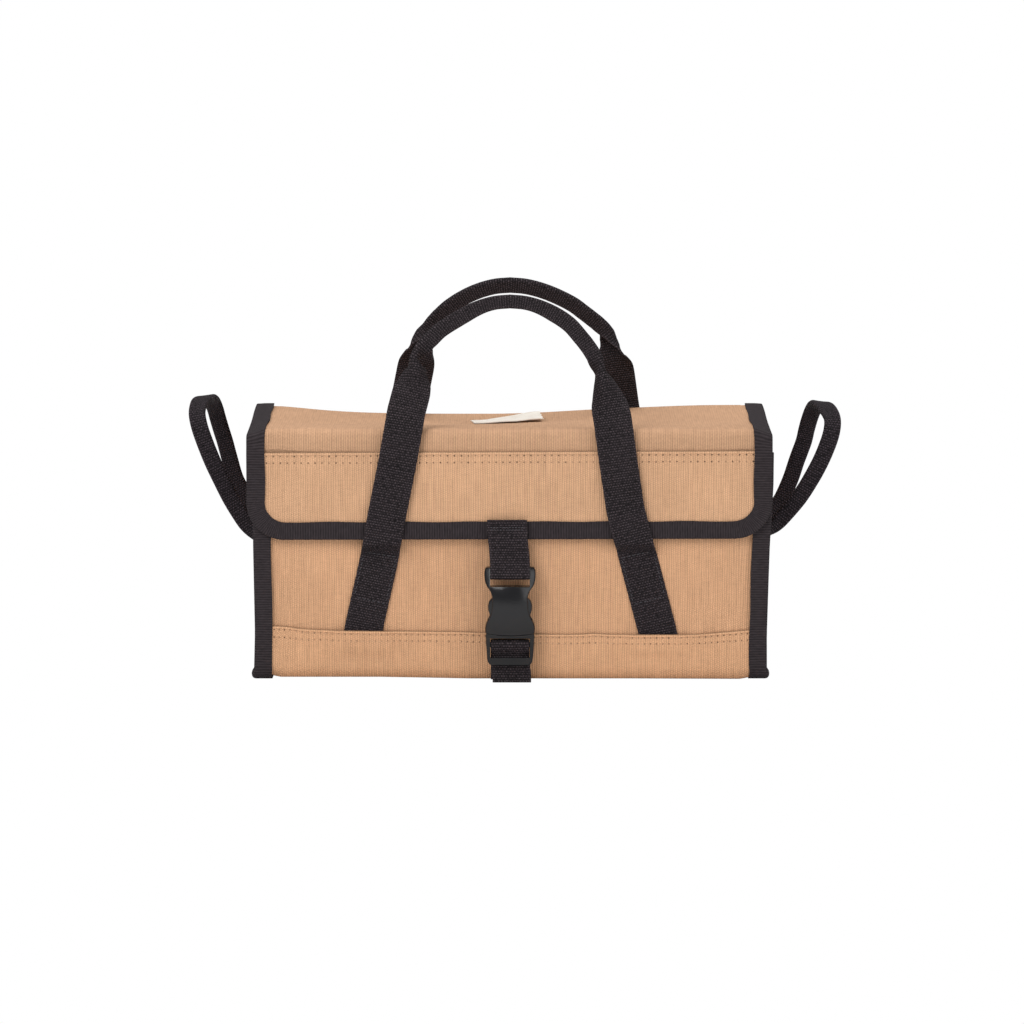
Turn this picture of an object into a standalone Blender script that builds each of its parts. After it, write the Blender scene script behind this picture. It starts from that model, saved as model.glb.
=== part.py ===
import math

import bmesh
import bpy
import numpy as np

# Sizes in metres. The front faces -Y, +Z is up and the floor is z = 0.

# Cloth, tape and webbing
canvas = 0.0011
tape = 0.0007
webbing = 0.0016
webbing_width = 0.025
gap = 0.0003

# The bag's body
panel_width = 0.3140
panel_depth = 0.1500
fin_width = 0.0117
rim_height = 0.1495
bottom_corner = 0.0080
base_lap_height = 0.0330
base_ramp = 0.0060
lap_fade = 0.0036
mouth_lean = 0.0080
mouth_height = 0.0315
knob_stand = 0.0012

# The lid and its flap
lid_rise = 0.0115
lid_width = 0.3420
lid_roll = 0.0041
hinge_stand = 0.0010
rear_turn_lap = 0.0130
flap_drop = 0.0110
flap_bottom = 0.0934
flap_corner = 0.0200
flap_fold_stand = 0.0040
binding_width = 0.0120
binding_drop = 0.0040
turn_lap = 0.0100
label_width = 0.0460
label_depth = 0.0260
label_thickness = 0.0006
label_turn = 12.0
label_x = -0.0020
label_y = 0.0240

# The carrying handles
handle_height = 0.2520
handle_root = 0.0824
handle_foot_spread = 0.1900
handle_foot_level = 0.0350
handle_tab_bottom = 0.0235
handle_shoulder_spread = 0.1330
handle_shoulder = 0.1770
handle_bend_rise = 0.0091
handle_lean_rise = 0.0020
handle_lean_bend = 0.0100
front_handle_clearance = 0.0010
back_handle_clearance = 0.0034
front_lean = 0.0290
back_lean = 0.0260
fold_start = 0.1790
fold_end = 0.2150
turn_start = 0.2035
turn_end = 0.2215
grip_fold_radius = 0.0017
grip_half_cloth = 0.0105

# The end loops
loop_root = 0.0800
loop_play = 0.0013
loop_tab_length = 0.0300
loop_inset = 0.0250
loop_reach = 0.0455
loop_rise = 0.0985
loop_half_cloth = 0.0119
loop_fold_radius = 0.0012

# The closure strap and its buckle
strap_top = 0.1074
strap_gather_rise = 0.0082
strap_side_play = 0.00045
buckle_stand = 0.0022
buckle_round = 0.0010
mouth_bow = 0.0012
socket_mouth = 0.0333
socket_length = 0.0435
socket_half_width = 0.0164
socket_depth = 0.0090
socket_body_top = 0.0641
socket_bar_level = 0.0719
socket_bar = 0.0032
cavity_half_width = 0.01465
cavity_half_depth = 0.00315
cavity_length = 0.0267
plug_length = 0.0207
plug_half_width = 0.0158
plug_depth = 0.0078
plug_shoulder = 0.0030
plug_bar_level = 0.02525
plug_bar_height = 0.0035
plug_bar_depth = 0.0026
plug_end_bar = 0.0049
plug_end_depth = 0.0033
prong_half_reach = 0.0144
prong_length = 0.0232
prong_depth = 0.0044
lower_strap_end = 0.0012
lower_seam_top = 0.0090
plug_swing_stand = 0.0034

# Sizes that follow from the ones above
half_panel = panel_width / 2
half_depth = panel_depth / 2
hinge_y = half_depth + hinge_stand
flap_fold_y = half_depth + flap_fold_stand
plug_swing_y = half_depth + plug_swing_stand
fin_out = half_panel + fin_width
seam_edge = fin_out - tape - gap
flange_out = canvas + gap
flange_in = flange_out + canvas
floor_lift = gap + canvas + gap + tape
lean_start = rim_height - mouth_height
lid_height = rim_height + lid_rise
flap_top = lid_height - flap_drop
binding_top = lid_height - binding_drop
handle_lean_level = lid_height + handle_lean_rise
lid_half = lid_width / 2
lid_edge = lid_half - tape - gap
lid_middle = lid_height + canvas / 2
lid_back = hinge_y - gap / 3
strap_half = webbing_width / 2
lap_outer = half_depth + gap + canvas
turn_back = half_depth + floor_lift + gap
turn_front = turn_back + canvas
flap_inner = turn_front + gap
flap_outer = flap_inner + canvas
flap_face = flap_outer + gap + tape
bind_inner = flap_inner - gap - tape
strap_back = flap_face + gap + webbing / 2
strap_front = strap_back + webbing + gap
buckle_plane = strap_back + buckle_stand
socket_top = socket_mouth + socket_length
strap_gather = socket_top + strap_gather_rise
plug_top = socket_mouth - gap
plug_bottom = plug_top - plug_length
slot_half = strap_half + strap_side_play
leg_slope = (handle_foot_spread - handle_shoulder_spread) / 2 / (handle_shoulder - handle_foot_level)
leg_cut = strap_half * math.hypot(1.0, leg_slope)
fold_width = grip_half_cloth + grip_fold_radius * (1.0 - math.pi / 2) + webbing / 2
loop_pivot = half_panel + gap + 2 * loop_fold_radius + webbing
front_stand = flap_face + gap + front_handle_clearance
back_stand = half_depth + gap + back_handle_clearance
center_shift = (buckle_plane + socket_depth / 2 - back_stand - webbing) / 2

# Shares of the mouth's lean at shares of the height from its start to the rim
lean_share = [(1.0, 1.0), (0.8, 0.78), (0.6, 0.55), (0.4, 0.31), (0.2, 0.10), (0.0, 0.0)]

# A handle's centre line above the shoulder: shares of half the spread and of the rise to the grip
grip_share = [(1.0, 0.0), (0.970, 0.144), (0.947, 0.259), (0.926, 0.345), (0.893, 0.432),
              (0.845, 0.511), (0.786, 0.592), (0.707, 0.683), (0.601, 0.791), (0.455, 0.882),
              (0.301, 0.948), (0.150, 0.987), (0.0, 1.0)]

# An end loop's half: shares of its reach, of its rise and of half its spread, and of its twist
loop_share = [(0.0, 0.0, 1.0, 1.0), (0.12, 0.081, 1.0, 0.80), (0.29, 0.162, 1.0, 0.35),
              (0.43, 0.240, 1.0, 0.08), (0.61, 0.355, 1.0, 0.0), (0.73, 0.497, 1.0, 0.0),
              (0.84, 0.629, 0.995, 0.0), (0.935, 0.745, 0.965, 0.0), (0.985, 0.835, 0.89, 0.0),
              (1.005, 0.910, 0.76, 0.0), (1.012, 0.960, 0.56, 0.0), (1.006, 0.990, 0.29, 0.0),
              (1.0, 1.0, 0.0, 0.0)]

# The socket from mouth to ears: shares of its half width, of its length and of its depth
socket_share = [(0.955, 0.0, 1.0), (0.980, 0.030, 1.0), (0.986, 0.085, 1.0), (0.955, 0.140, 1.0),
                (0.895, 0.190, 1.0), (0.805, 0.250, 1.0), (0.740, 0.325, 1.0), (0.703, 0.440, 1.0),
                (0.712, 0.560, 0.99), (0.780, 0.640, 0.96), (0.890, 0.700, 0.90),
                (0.975, 0.765, 0.76), (1.015, 0.850, 0.64), (1.015, 0.930, 0.60),
                (0.980, 0.982, 0.56), (0.920, 1.0, 0.50)]

# The crown of the socket's faces: shares of the half width and of the half depth
crown_share = [(1.0, 0.84), (0.96, 0.92), (0.80, 0.965), (0.45, 0.992), (0.0, 1.0)]

# The plug's half outline: shares of its half width and of its length, from the top down
plug_share = [(0.980, 0.0), (1.0, 0.030), (0.990, 0.30), (0.965, 0.60), (0.940, 0.80),
              (0.905, 0.90), (0.845, 0.968), (0.765, 1.0)]

# A prong's outline: shares of its half reach and of its length, round from its outer foot
prong_share = [(0.910, 0.0), (0.885, 0.20), (0.880, 0.40), (0.930, 0.54), (0.990, 0.66),
               (1.0, 0.78), (0.955, 0.90), (0.860, 0.975), (0.745, 1.0), (0.672, 0.945),
               (0.690, 0.80), (0.705, 0.62), (0.680, 0.40), (0.655, 0.20), (0.650, 0.0)]

# Linear base colour and roughness of each kind of surface
surfaces = {
    "canvas": ((0.600, 0.380, 0.215), 0.90),
    "webbing": ((0.022, 0.019, 0.020), 0.85),
    "binding": ((0.036, 0.029, 0.030), 0.80),
    "plastic": ((0.018, 0.019, 0.022), 0.45),
    "label": ((0.800, 0.760, 0.700), 0.85),
}


def surface_of(name, surface):
    # Each object owns a Principled material with its colour and roughness
    color, roughness = surfaces[surface]
    result = bpy.data.materials.new(name + "_" + surface)
    result.use_nodes = True
    shader = result.node_tree.nodes["Principled BSDF"]
    shader.inputs["Base Color"].default_value = (*color, 1.0)
    shader.inputs["Roughness"].default_value = roughness
    shader.inputs["Metallic"].default_value = 0.0
    result.diffuse_color = (*color, 1.0)
    return result


def add_object(name, verts, faces, surface, origin=(0, 0, 0)):
    # One closed mesh object with its origin on the given point, the whole centred front to back
    verts = np.array(verts, float) - np.array(origin, float)
    mesh = bpy.data.meshes.new(name)
    mesh.from_pydata(verts.tolist(), [], faces)
    work = bmesh.new()
    work.from_mesh(mesh)
    bmesh.ops.recalc_face_normals(work, faces=work.faces)
    work.to_mesh(mesh)
    work.free()
    obj = bpy.data.objects.new(name, mesh)
    obj.location = (origin[0], origin[1] + center_shift, origin[2])
    bpy.context.scene.collection.objects.link(obj)
    mesh.materials.append(surface_of(name, surface))
    mesh.shade_smooth()
    mesh.set_sharp_from_angle(angle=math.radians(35.0))
    return obj


def ring_faces(rings, count):
    # Quads between rings of count points, and a cap on each end
    faces = []
    for i in range(rings - 1):
        for k in range(count):
            n = (k + 1) % count
            faces.append((i * count + k, i * count + n, (i + 1) * count + n, (i + 1) * count + k))
    faces.append(tuple(range(count)))
    faces.append(tuple((rings - 1) * count + k for k in range(count)))
    return faces


def sweep(name, points, across, outward, sections, surface, origin=(0, 0, 0)):
    # Carries a section along a path: each point adds s * across and n * outward
    verts = []
    for p, a, b, section in zip(points, across, outward, sections):
        for s, n in section:
            verts.append(np.array(p) + s * np.array(a) + n * np.array(b))
    return add_object(name, verts, ring_faces(len(points), len(sections[0])), surface, origin)


def plate(name, outline, y_from, y_to, surface, origin=(0, 0, 0)):
    # An outline in the XZ plane, given a thickness along Y
    verts = [(x, y, z) for y in (y_from, y_to) for x, z in outline]
    return add_object(name, verts, ring_faces(2, len(outline)), surface, origin)


def mitres(points):
    # The offset to the left at each point of a plane path, stretched at its bends
    points = np.array(points, float)
    step = np.diff(points, axis=0)
    step /= np.linalg.norm(step, axis=1)[:, None]
    normal = np.stack([-step[:, 1], step[:, 0]], axis=1)
    bends = [(a + b) / (1.0 + a @ b) for a, b in zip(normal[:-1], normal[1:])]
    return np.array([normal[0]] + bends + [normal[-1]])


def arc(center, radius, start, end, steps):
    # Points on an arc, its angles in degrees
    angles = np.radians(np.linspace(start, end, steps + 1))
    return [(center[0] + radius * math.cos(a), center[1] + radius * math.sin(a)) for a in angles]


def smooth(t):
    t = min(max(t, 0.0), 1.0)
    return t * t * (3.0 - 2.0 * t)


def smooth_line(points, steps):
    # A rounded curve through the points, with steps pieces between each two
    points = np.array(points, float)
    ends = np.vstack([2 * points[0] - points[1], points, 2 * points[-1] - points[-2]])
    result = []
    for a, b, c, d in zip(ends[:-3], ends[1:-2], ends[2:-1], ends[3:]):
        for t in np.arange(steps) / steps:
            bend = (2 * a - 5 * b + 4 * c - d) * t * t + (3 * b - a - 3 * c + d) * t ** 3
            result.append((2 * b + (c - a) * t + bend) / 2)
    return np.array(result + [points[-1]])


def leg_center(z):
    # A handle leg's centre line draws in with height
    return handle_foot_spread / 2 - leg_slope * (z - handle_foot_level)


def lifted(points, x=0.0):
    # Points of the YZ plane as points in space
    return [(x, y, z) for y, z in points]


def strip(half):
    # The section of a cloth whose outer face is on the path
    return [(-half, -canvas), (half, -canvas), (half, 0.0), (-half, 0.0)]


def tape_fold(edge, inner, outer, knob=0.0):
    # Binding tape folded round an edge: two legs and the web over the edge
    foot = edge - binding_width + gap
    return [(foot, outer - tape), (foot, outer), (edge + knob, outer), (edge + knob, inner),
            (foot, inner), (foot, inner + tape), (edge - tape, inner + tape),
            (edge - tape, outer - tape)]


def wall_line():
    # The front panel's outer face from the rim to the bottom corner
    rise = rim_height - lean_start
    line = [(-half_depth + mouth_lean * share, lean_start + rise * level)
            for level, share in lean_share]
    return line + [(-half_depth, floor_lift + bottom_corner)]


def seam_line():
    # The seam round the body, from the front rim under the base to the back rim
    r = bottom_corner
    line = wall_line()[:-1] + [(-half_depth, floor_lift + 2 * r)]
    line += arc((-half_depth + r, floor_lift + r), r, 180.0, 270.0, 6)
    line += [(-half_depth + 2 * r, floor_lift), (half_depth - 2 * r, floor_lift)]
    line += arc((half_depth - r, floor_lift + r), r, 270.0, 360.0, 6)
    return line + [(half_depth, floor_lift + 2 * r), (half_depth, rim_height)]


def seam_offsets(line):
    # Outward offsets, level at the rim so that the ends stay flat on top
    result = -mitres(line)
    result[0] = (-1.0, 0.0)
    result[-1] = (1.0, 0.0)
    return lifted(result)


def make_front_panel():
    # The front panel ends under the base lap, and its rim leans in
    line = wall_line()
    line[-1] = (-half_depth, floor_lift + bottom_corner + gap)
    offsets = seam_offsets(line)
    offsets[-1] = (0.0, -1.0, 0.0)
    count = len(line)
    sweep("front_panel", lifted(line), [(1, 0, 0)] * count, offsets, [strip(seam_edge)] * count, "canvas")


def make_back_panel():
    # The back panel is level with the rim on the fins and rises to the lid between them
    bottom = floor_lift + bottom_corner + gap
    top = lid_height - canvas - gap
    inner = half_panel - canvas - gap
    outline = [(-seam_edge, bottom), (seam_edge, bottom), (seam_edge, rim_height),
               (inner, rim_height), (inner, top), (-inner, top), (-inner, rim_height),
               (-seam_edge, rim_height)]
    plate("back_panel", outline, half_depth - canvas, half_depth, "canvas")


def base_stand(x, z):
    # How far the base's inner face stands off the seam line
    seam = smooth((abs(x) - half_panel + base_ramp) / base_ramp)
    under = floor_lift - canvas - (floor_lift - canvas - gap) * seam
    middle = (leg_center(base_lap_height) + leg_center(handle_tab_bottom)) / 2
    reach = leg_cut + (leg_center(handle_tab_bottom) - middle) + gap
    over = 1.0 - smooth((abs(abs(x) - middle) - reach) / lap_fade)
    rise = smooth((z - handle_tab_bottom + gap + lap_fade) / lap_fade)
    wall = gap + (webbing + gap) * over * rise
    side = smooth((z - floor_lift) / bottom_corner)
    return under + (wall - under) * side


def make_base_panel():
    # The base wraps up over the front and back panels, and over the handles' sewn ends
    r = bottom_corner
    middle = (leg_center(base_lap_height) + leg_center(handle_tab_bottom)) / 2
    reach = leg_cut + (leg_center(handle_tab_bottom) - middle) + gap
    levels = [base_lap_height, handle_tab_bottom - gap, handle_tab_bottom - gap - lap_fade / 2,
              handle_tab_bottom - gap - lap_fade]
    line = [(-half_depth, z) for z in levels]
    line += arc((-half_depth + r, floor_lift + r), r, 180.0, 270.0, 6)
    line += arc((half_depth - r, floor_lift + r), r, 270.0, 360.0, 6)
    line += [(half_depth, z) for z in reversed(levels)]
    half = [0.0, (middle - reach) / 2, middle - reach - lap_fade, middle - reach - lap_fade / 2,
            middle - reach, middle, middle + reach, middle + reach + lap_fade / 2,
            middle + reach + lap_fade, half_panel - base_ramp, half_panel - base_ramp / 2,
            half_panel, seam_edge]
    columns = [-x for x in reversed(half[1:])] + half
    verts = []
    for face in (0.0, canvas):
        for (y, z), (ny, nz) in zip(line, -mitres(line)):
            for x in columns:
                n = base_stand(x, z) + face
                verts.append((x, y + n * ny, z + n * nz))
    rows, cols = len(line), len(columns)
    back = rows * cols
    faces = []
    for i in range(rows - 1):
        for k in range(cols - 1):
            quad = (i * cols + k, i * cols + k + 1, (i + 1) * cols + k + 1, (i + 1) * cols + k)
            faces.append(quad)
            faces.append(tuple(v + back for v in quad))
    rim = [k for k in range(cols)] + [i * cols + cols - 1 for i in range(1, rows)]
    rim += [(rows - 1) * cols + k for k in range(cols - 2, -1, -1)]
    rim += [i * cols for i in range(rows - 2, 0, -1)]
    for a, b in zip(rim, rim[1:] + rim[:1]):
        faces.append((a, b, b + back, a + back))
    add_object("base_panel", verts, faces, "canvas")


def make_end(side, tag):
    # An end panel: a flat wall whose edge turns out into the seam, and the tape round that seam
    line = seam_line()
    offsets = seam_offsets(line)
    points = lifted(line)
    count = len(line)
    corners = [(seam_edge, -flange_out), (seam_edge, -flange_in), (half_panel, -flange_in),
               (half_panel - canvas, -flange_out)]
    verts = [(side * x, p[1] + n * o[1], p[2] + n * o[2])
             for p, o in zip(points, offsets) for x, n in corners]
    faces = [(4 * i + k, 4 * i + (k + 1) % 4, 4 * i + 4 + (k + 1) % 4, 4 * i + 4 + k)
             for i in range(count - 1) for k in (0, 1, 3)]
    faces.append(tuple(4 * i + 2 for i in range(count)))
    faces.append(tuple(4 * i + 3 for i in range(count)))
    last = 4 * count - 4
    faces.append((0, 1, 2, last + 2, last + 1, last, last + 3, 3))
    add_object("end_panel_" + tag, verts, faces, "canvas")
    sections = []
    for y, z in line:
        up = smooth((z - floor_lift - bottom_corner) / bottom_corner)
        inward = smooth((half_depth - bottom_corner - abs(y)) / bottom_corner)
        knob = knob_stand * (1.0 - up) * (1.0 - inward)
        sections.append(tape_fold(fin_out, -flange_in - gap - tape, floor_lift, knob))
    sweep("end_binding_" + tag, points, [(side, 0, 0)] * count, offsets, sections, "binding")


def make_lid():
    # The lid's top rolls down at the front, with tape on both side edges
    hinge = (0.0, hinge_y, lid_height)
    radius = lid_roll - canvas / 2
    line = [(lid_back, lid_middle), (0.0, lid_middle)]
    roll = (-turn_front + lid_roll, lid_height + canvas - lid_roll)
    line += arc(roll, radius, 90.0, 180.0, 6)
    count = len(line)
    offsets = lifted(-mitres(line))
    half = canvas / 2
    box = [(-lid_edge, -half), (lid_edge, -half), (lid_edge, half), (-lid_edge, half)]
    sweep("lid_top", lifted(line), [(1, 0, 0)] * count, offsets, [box] * count, "canvas", hinge)
    fold = tape_fold(lid_half, -half - gap - tape, half + gap + tape)
    for side, tag in ((-1, "left"), (1, "right")):
        sweep("lid_side_binding_" + tag, lifted(line), [(side, 0, 0)] * count, offsets,
              [fold] * count, "binding", hinge)
    turn_half = half_panel - gap
    outline = [(-turn_half, flap_top - gap - rear_turn_lap), (turn_half, flap_top - gap - rear_turn_lap),
               (turn_half, lid_height - gap), (-turn_half, lid_height - gap)]
    plate("lid_top_rear_turn", outline, half_depth + gap, lap_outer, "canvas")
    make_label(hinge)


def make_label(hinge):
    # A bare sewn label, turned on the lid
    c = math.cos(math.radians(label_turn))
    s = math.sin(math.radians(label_turn))
    low = lid_height + canvas + gap
    verts = []
    for z in (low, low + label_thickness):
        for x, y in ((-1, -1), (1, -1), (1, 1), (-1, 1)):
            u = x * label_width / 2
            v = y * label_depth / 2
            verts.append((label_x + u * c - v * s, label_y + u * s + v * c, z))
    add_object("label", verts, ring_faces(2, 4), "label", hinge)


def make_flap():
    # The flap: the lid cloth's turned edge behind it, the front cloth and the tape round it
    pivot = (0.0, -flap_fold_y, flap_top)
    turn_half = lid_half - binding_width - gap
    turn_top = lid_height + canvas - lid_roll - gap
    outline = [(-turn_half, flap_top - turn_lap), (turn_half, flap_top - turn_lap),
               (turn_half, turn_top), (-turn_half, turn_top)]
    plate("lid_top_front_turn", outline, -turn_front, -turn_back, "canvas", pivot)
    inset = tape + gap
    radius = flap_corner - inset
    low = flap_bottom + flap_corner
    outline = [(-lid_edge, flap_top)]
    outline += arc((-lid_edge + radius, low), radius, 180.0, 270.0, 8)
    outline += arc((lid_edge - radius, low), radius, 270.0, 360.0, 8)
    outline += [(lid_edge, flap_top)]
    plate("lid_front", outline, -flap_outer, -flap_inner, "canvas", pivot)
    line = [(-lid_half, binding_top)]
    line += arc((-lid_half + flap_corner, low), flap_corner, 180.0, 270.0, 8)
    line += arc((lid_half - flap_corner, low), flap_corner, 270.0, 360.0, 8)
    line += [(lid_half, binding_top)]
    count = len(line)
    inward = [(a, 0.0, b) for a, b in mitres(line)]
    fold = [(-s, n) for s, n in tape_fold(0.0, bind_inner, flap_face)]
    points = [(x, 0.0, z) for x, z in line]
    sweep("flap_binding", points, inward, [(0, -1, 0)] * count, [fold] * count, "binding", pivot)


def folded_cloth(fold, half, radius, turn=0.0):
    # A strip's section, folded lengthwise and turned by angles in radians, centred on its width
    reach = radius * fold / 2
    bend = radius * math.pi / 2
    marks = [half, half * 0.6, bend, bend * 0.6, bend * 0.2, -bend * 0.2, -bend * 0.6, -bend,
             -half * 0.6, -half]
    middle = []
    facing = []
    for s in marks:
        if s >= reach:
            middle.append((s - reach, 0.0))
            facing.append(0.0)
        elif s > -reach:
            angle = (reach - s) / radius
            middle.append((-radius * math.sin(angle), radius * (1.0 - math.cos(angle))))
            facing.append(angle)
        else:
            far = -reach - s
            middle.append((-radius * math.sin(fold) - far * math.cos(fold),
                           radius * (1.0 - math.cos(fold)) + far * math.sin(fold)))
            facing.append(fold)
    thick = webbing / 2
    outer = [(u - thick * math.sin(a), w - thick * math.cos(a)) for (u, w), a in zip(middle, facing)]
    inner = [(u + thick * math.sin(a), w + thick * math.cos(a)) for (u, w), a in zip(middle, facing)]
    c = math.cos(turn)
    s = math.sin(turn)
    ring = [(u * c - w * s, u * s + w * c) for u, w in outer + inner[::-1]]
    shift = (max(u for u, w in ring) + min(u for u, w in ring)) / 2
    return [(u - shift, w) for u, w in ring]


def handle_profile(stand, lean):
    # A handle seen from the side: distance from the centre plane against height, root to top
    foot = half_depth + gap + webbing / 2
    face = stand + webbing / 2
    bend = handle_lean_bend
    slope = lean / (handle_height - handle_lean_level)
    line = [(foot, handle_root), (face, handle_root + handle_bend_rise)]
    for t in np.linspace(-1.0, 1.0, 7):
        z = handle_lean_level + bend * t
        line.append((face - slope * bend * (1.0 + t) ** 2 / 4, z))
    return line + [(face - lean, handle_height)]


def make_handle(name, side, stand, lean):
    # A webbing handle and its sewn ends. Each leg folds back from its middle into a closed neck,
    # which then turns, so that the grip has its fold above and the strap's edges below
    profile = np.array(handle_profile(stand, lean))
    normals = -mitres(profile)
    normals[0] = (1.0, 0.0)
    along = np.concatenate([[0.0], np.cumsum(np.linalg.norm(np.diff(profile, axis=0), axis=1))])
    apex = handle_height - fold_width / 2
    half_line = [(leg_center(z), z) for z in np.linspace(handle_root, handle_shoulder, 8)[:-1]]
    half_line += [(handle_shoulder_spread / 2 * x, handle_shoulder + (apex - handle_shoulder) * z)
                  for x, z in smooth_line(grip_share, 2)]
    half_line[1] = (leg_center(handle_root + handle_bend_rise), handle_root + handle_bend_rise)
    path = [(-x, z) for x, z in half_line] + [(x, z) for x, z in half_line[-2::-1]]
    flat = [(x, np.interp(z, profile[:, 1], along)) for x, z in path]
    outward = mitres(flat)
    outward[0] = (-math.hypot(1.0, leg_slope), 0.0)
    outward[-1] = (math.hypot(1.0, leg_slope), 0.0)
    verts = []
    for (x, q), (ax, aq), (px, pz) in zip(flat, outward, path):
        amount = smooth((pz - fold_start) / (fold_end - fold_start))
        half = strap_half + (grip_half_cloth - strap_half) * amount
        turned = smooth((pz - turn_start) / (turn_end - turn_start))
        turn = math.pi / 2 * (amount + turned)
        for u, w in folded_cloth(math.pi * amount, half, grip_fold_radius, turn):
            at = q + u * aq
            y = np.interp(at, along, profile[:, 0]) - w * np.interp(at, along, normals[:, 0])
            z = np.interp(at, along, profile[:, 1]) - w * np.interp(at, along, normals[:, 1])
            verts.append((x + u * ax, side * y, z))
    origin = (0.0, side * (half_depth + gap + webbing), handle_root)
    add_object(name, verts, ring_faces(len(path), 20), "webbing", origin)
    low, high = half_depth + gap, half_depth + gap + webbing
    for sign, tag in ((-1, "left"), (1, "right")):
        outline = []
        for z, ends in ((handle_tab_bottom, (-1, 1)), (handle_root - gap, (1, -1))):
            outline += [(sign * leg_center(z) + end * leg_cut, z) for end in ends]
        plate(name + "_tab_" + tag, outline, side * low, side * high, "webbing")


def make_loop(side, tag):
    # An end loop of folded webbing, edge-on to the end panel where it is sewn
    half_spread = half_depth - loop_inset
    middle = loop_pivot - loop_fold_radius - webbing / 2
    rows = smooth_line(loop_share, 2)
    rows = [tuple(row) for row in rows] + [(a, b, -c, t) for a, b, c, t in rows[-2::-1]]
    points = [np.array((middle + loop_reach * a, -half_spread * c, loop_root + loop_rise * b))
              for a, b, c, t in rows]
    twists = [t for a, b, c, t in rows]
    lean = np.gradient([p[0] for p in points[:len(points) // 2 + 1]],
                       [p[2] for p in points[:len(points) // 2 + 1]])
    lean = np.concatenate([lean, lean[-2::-1]])
    verts = []
    for i, (p, twist) in enumerate(zip(points, twists)):
        t = points[min(i + 1, len(points) - 1)] - points[max(i - 1, 0)]
        t = t / np.linalg.norm(t)
        wide = np.array((1.0, 0.0, -lean[i])) / math.hypot(1.0, lean[i])
        if i in (0, len(points) - 1):
            t = np.array((0.0, 0.0, 1.0 if i == 0 else -1.0))
            wide = np.array((1.0, 0.0, 0.0))
        thick = np.cross(t, wide)
        angle = math.pi / 2 * twist * (1 if i < len(points) / 2 else -1)
        a = wide * math.cos(angle) + thick * math.sin(angle)
        b = thick * math.cos(angle) - wide * math.sin(angle)
        for u, w in folded_cloth(math.pi, loop_half_cloth, loop_fold_radius):
            v = p + u * a + (w - loop_fold_radius) * b
            verts.append((side * v[0], v[1], v[2]))
    origin = (side * loop_pivot, 0.0, loop_root)
    add_object("end_loop_" + tag, verts, ring_faces(len(points), 20), "webbing", origin)
    for sign, place in ((-1, "front"), (1, "back")):
        section = [(u, w - loop_fold_radius) for u, w in
                   folded_cloth(math.pi, loop_half_cloth, loop_fold_radius)]
        ends = [(side * middle, sign * half_spread, z)
                for z in (loop_root - loop_play - loop_tab_length, loop_root - loop_play)]
        sweep("end_loop_tab_" + place + "_" + tag, ends, [(0, 1, 0)] * 2, [(1, 0, 0)] * 2,
              [section] * 2, "webbing")


def make_upper_strap():
    # Two layers sewn to the flap, joined round the socket's bar
    radius = socket_bar / 2 + gap + webbing / 2
    line = [(-strap_back, strap_top), (-strap_back, strap_gather)]
    bend = arc((-buckle_plane, socket_bar_level), radius, 15.0, -195.0, 12)
    line += bend + [(-strap_front, strap_gather), (-strap_front, strap_top)]
    make_strap("upper_strap", line, (0.0, -flap_fold_y, flap_top))


def make_strap(name, line, origin):
    half = webbing / 2
    box = [(-strap_half, -half), (strap_half, -half), (strap_half, half), (-strap_half, half)]
    count = len(line)
    sweep(name, lifted(line), [(1, 0, 0)] * count, lifted(mitres(line)), [box] * count, "webbing", origin)


def make_lower_strap():
    # Sewn low on the base, up behind the plug's bars, over the middle bar and down again
    radius = plug_bar_depth / 2 + gap + webbing / 2
    sewn = lap_outer + gap + webbing / 2
    load = buckle_plane - radius
    tail = buckle_plane + plug_depth / 2 - plug_end_depth - gap - webbing / 2
    over = plug_bar_level + plug_bar_height / 2 + gap + webbing / 2 - radius
    front = buckle_plane + radius
    low = plug_bottom + plug_end_bar
    line = [(-sewn, lower_strap_end), (-sewn, lower_seam_top), (-load, plug_bottom + plug_end_bar / 2)]
    line += arc((-buckle_plane, over), radius, 0.0, 180.0, 10)
    line += [(-front, plug_bar_level - plug_bar_height / 2 + gap), (-tail, low + webbing / 2),
             (-tail, lower_strap_end)]
    make_strap("lower_strap", line, (0.0, -plug_swing_y, lower_seam_top))


def guide(obj):
    # An object that only shapes another one, out of the render
    obj.hide_render = True
    obj.display_type = "WIRE"
    return obj


def cutter(name, boxes):
    # Boxes that are taken away from another object
    verts = []
    faces = []
    for (x0, x1), (y0, y1), (z0, z1) in boxes:
        start = len(verts)
        verts += [(x, y, z) for z in (z0, z1) for x, y in ((x0, y0), (x1, y0), (x1, y1), (x0, y1))]
        faces += [tuple(start + v for v in face) for face in ring_faces(2, 4)]
    return guide(add_object(name, verts, faces, "plastic"))


def combine(obj, other, operation):
    change = obj.modifiers.new(other.name, "BOOLEAN")
    change.operation = operation
    change.solver = "EXACT"
    change.object = other


def round_edges(obj, width):
    change = obj.modifiers.new("rounding", "BEVEL")
    change.width = width
    change.segments = 2
    change.limit_method = "ANGLE"
    change.angle_limit = math.radians(50.0)


def mirrored(half):
    return half + [(-x, z) for x, z in reversed(half)]


def mouth_line(level, half):
    # The bowed edge between socket and plug, left to right, lowest in the middle
    return [(share * half, level - mouth_bow * (1.0 - share ** 2)) for share in np.linspace(-1.0, 1.0, 13)]


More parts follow.
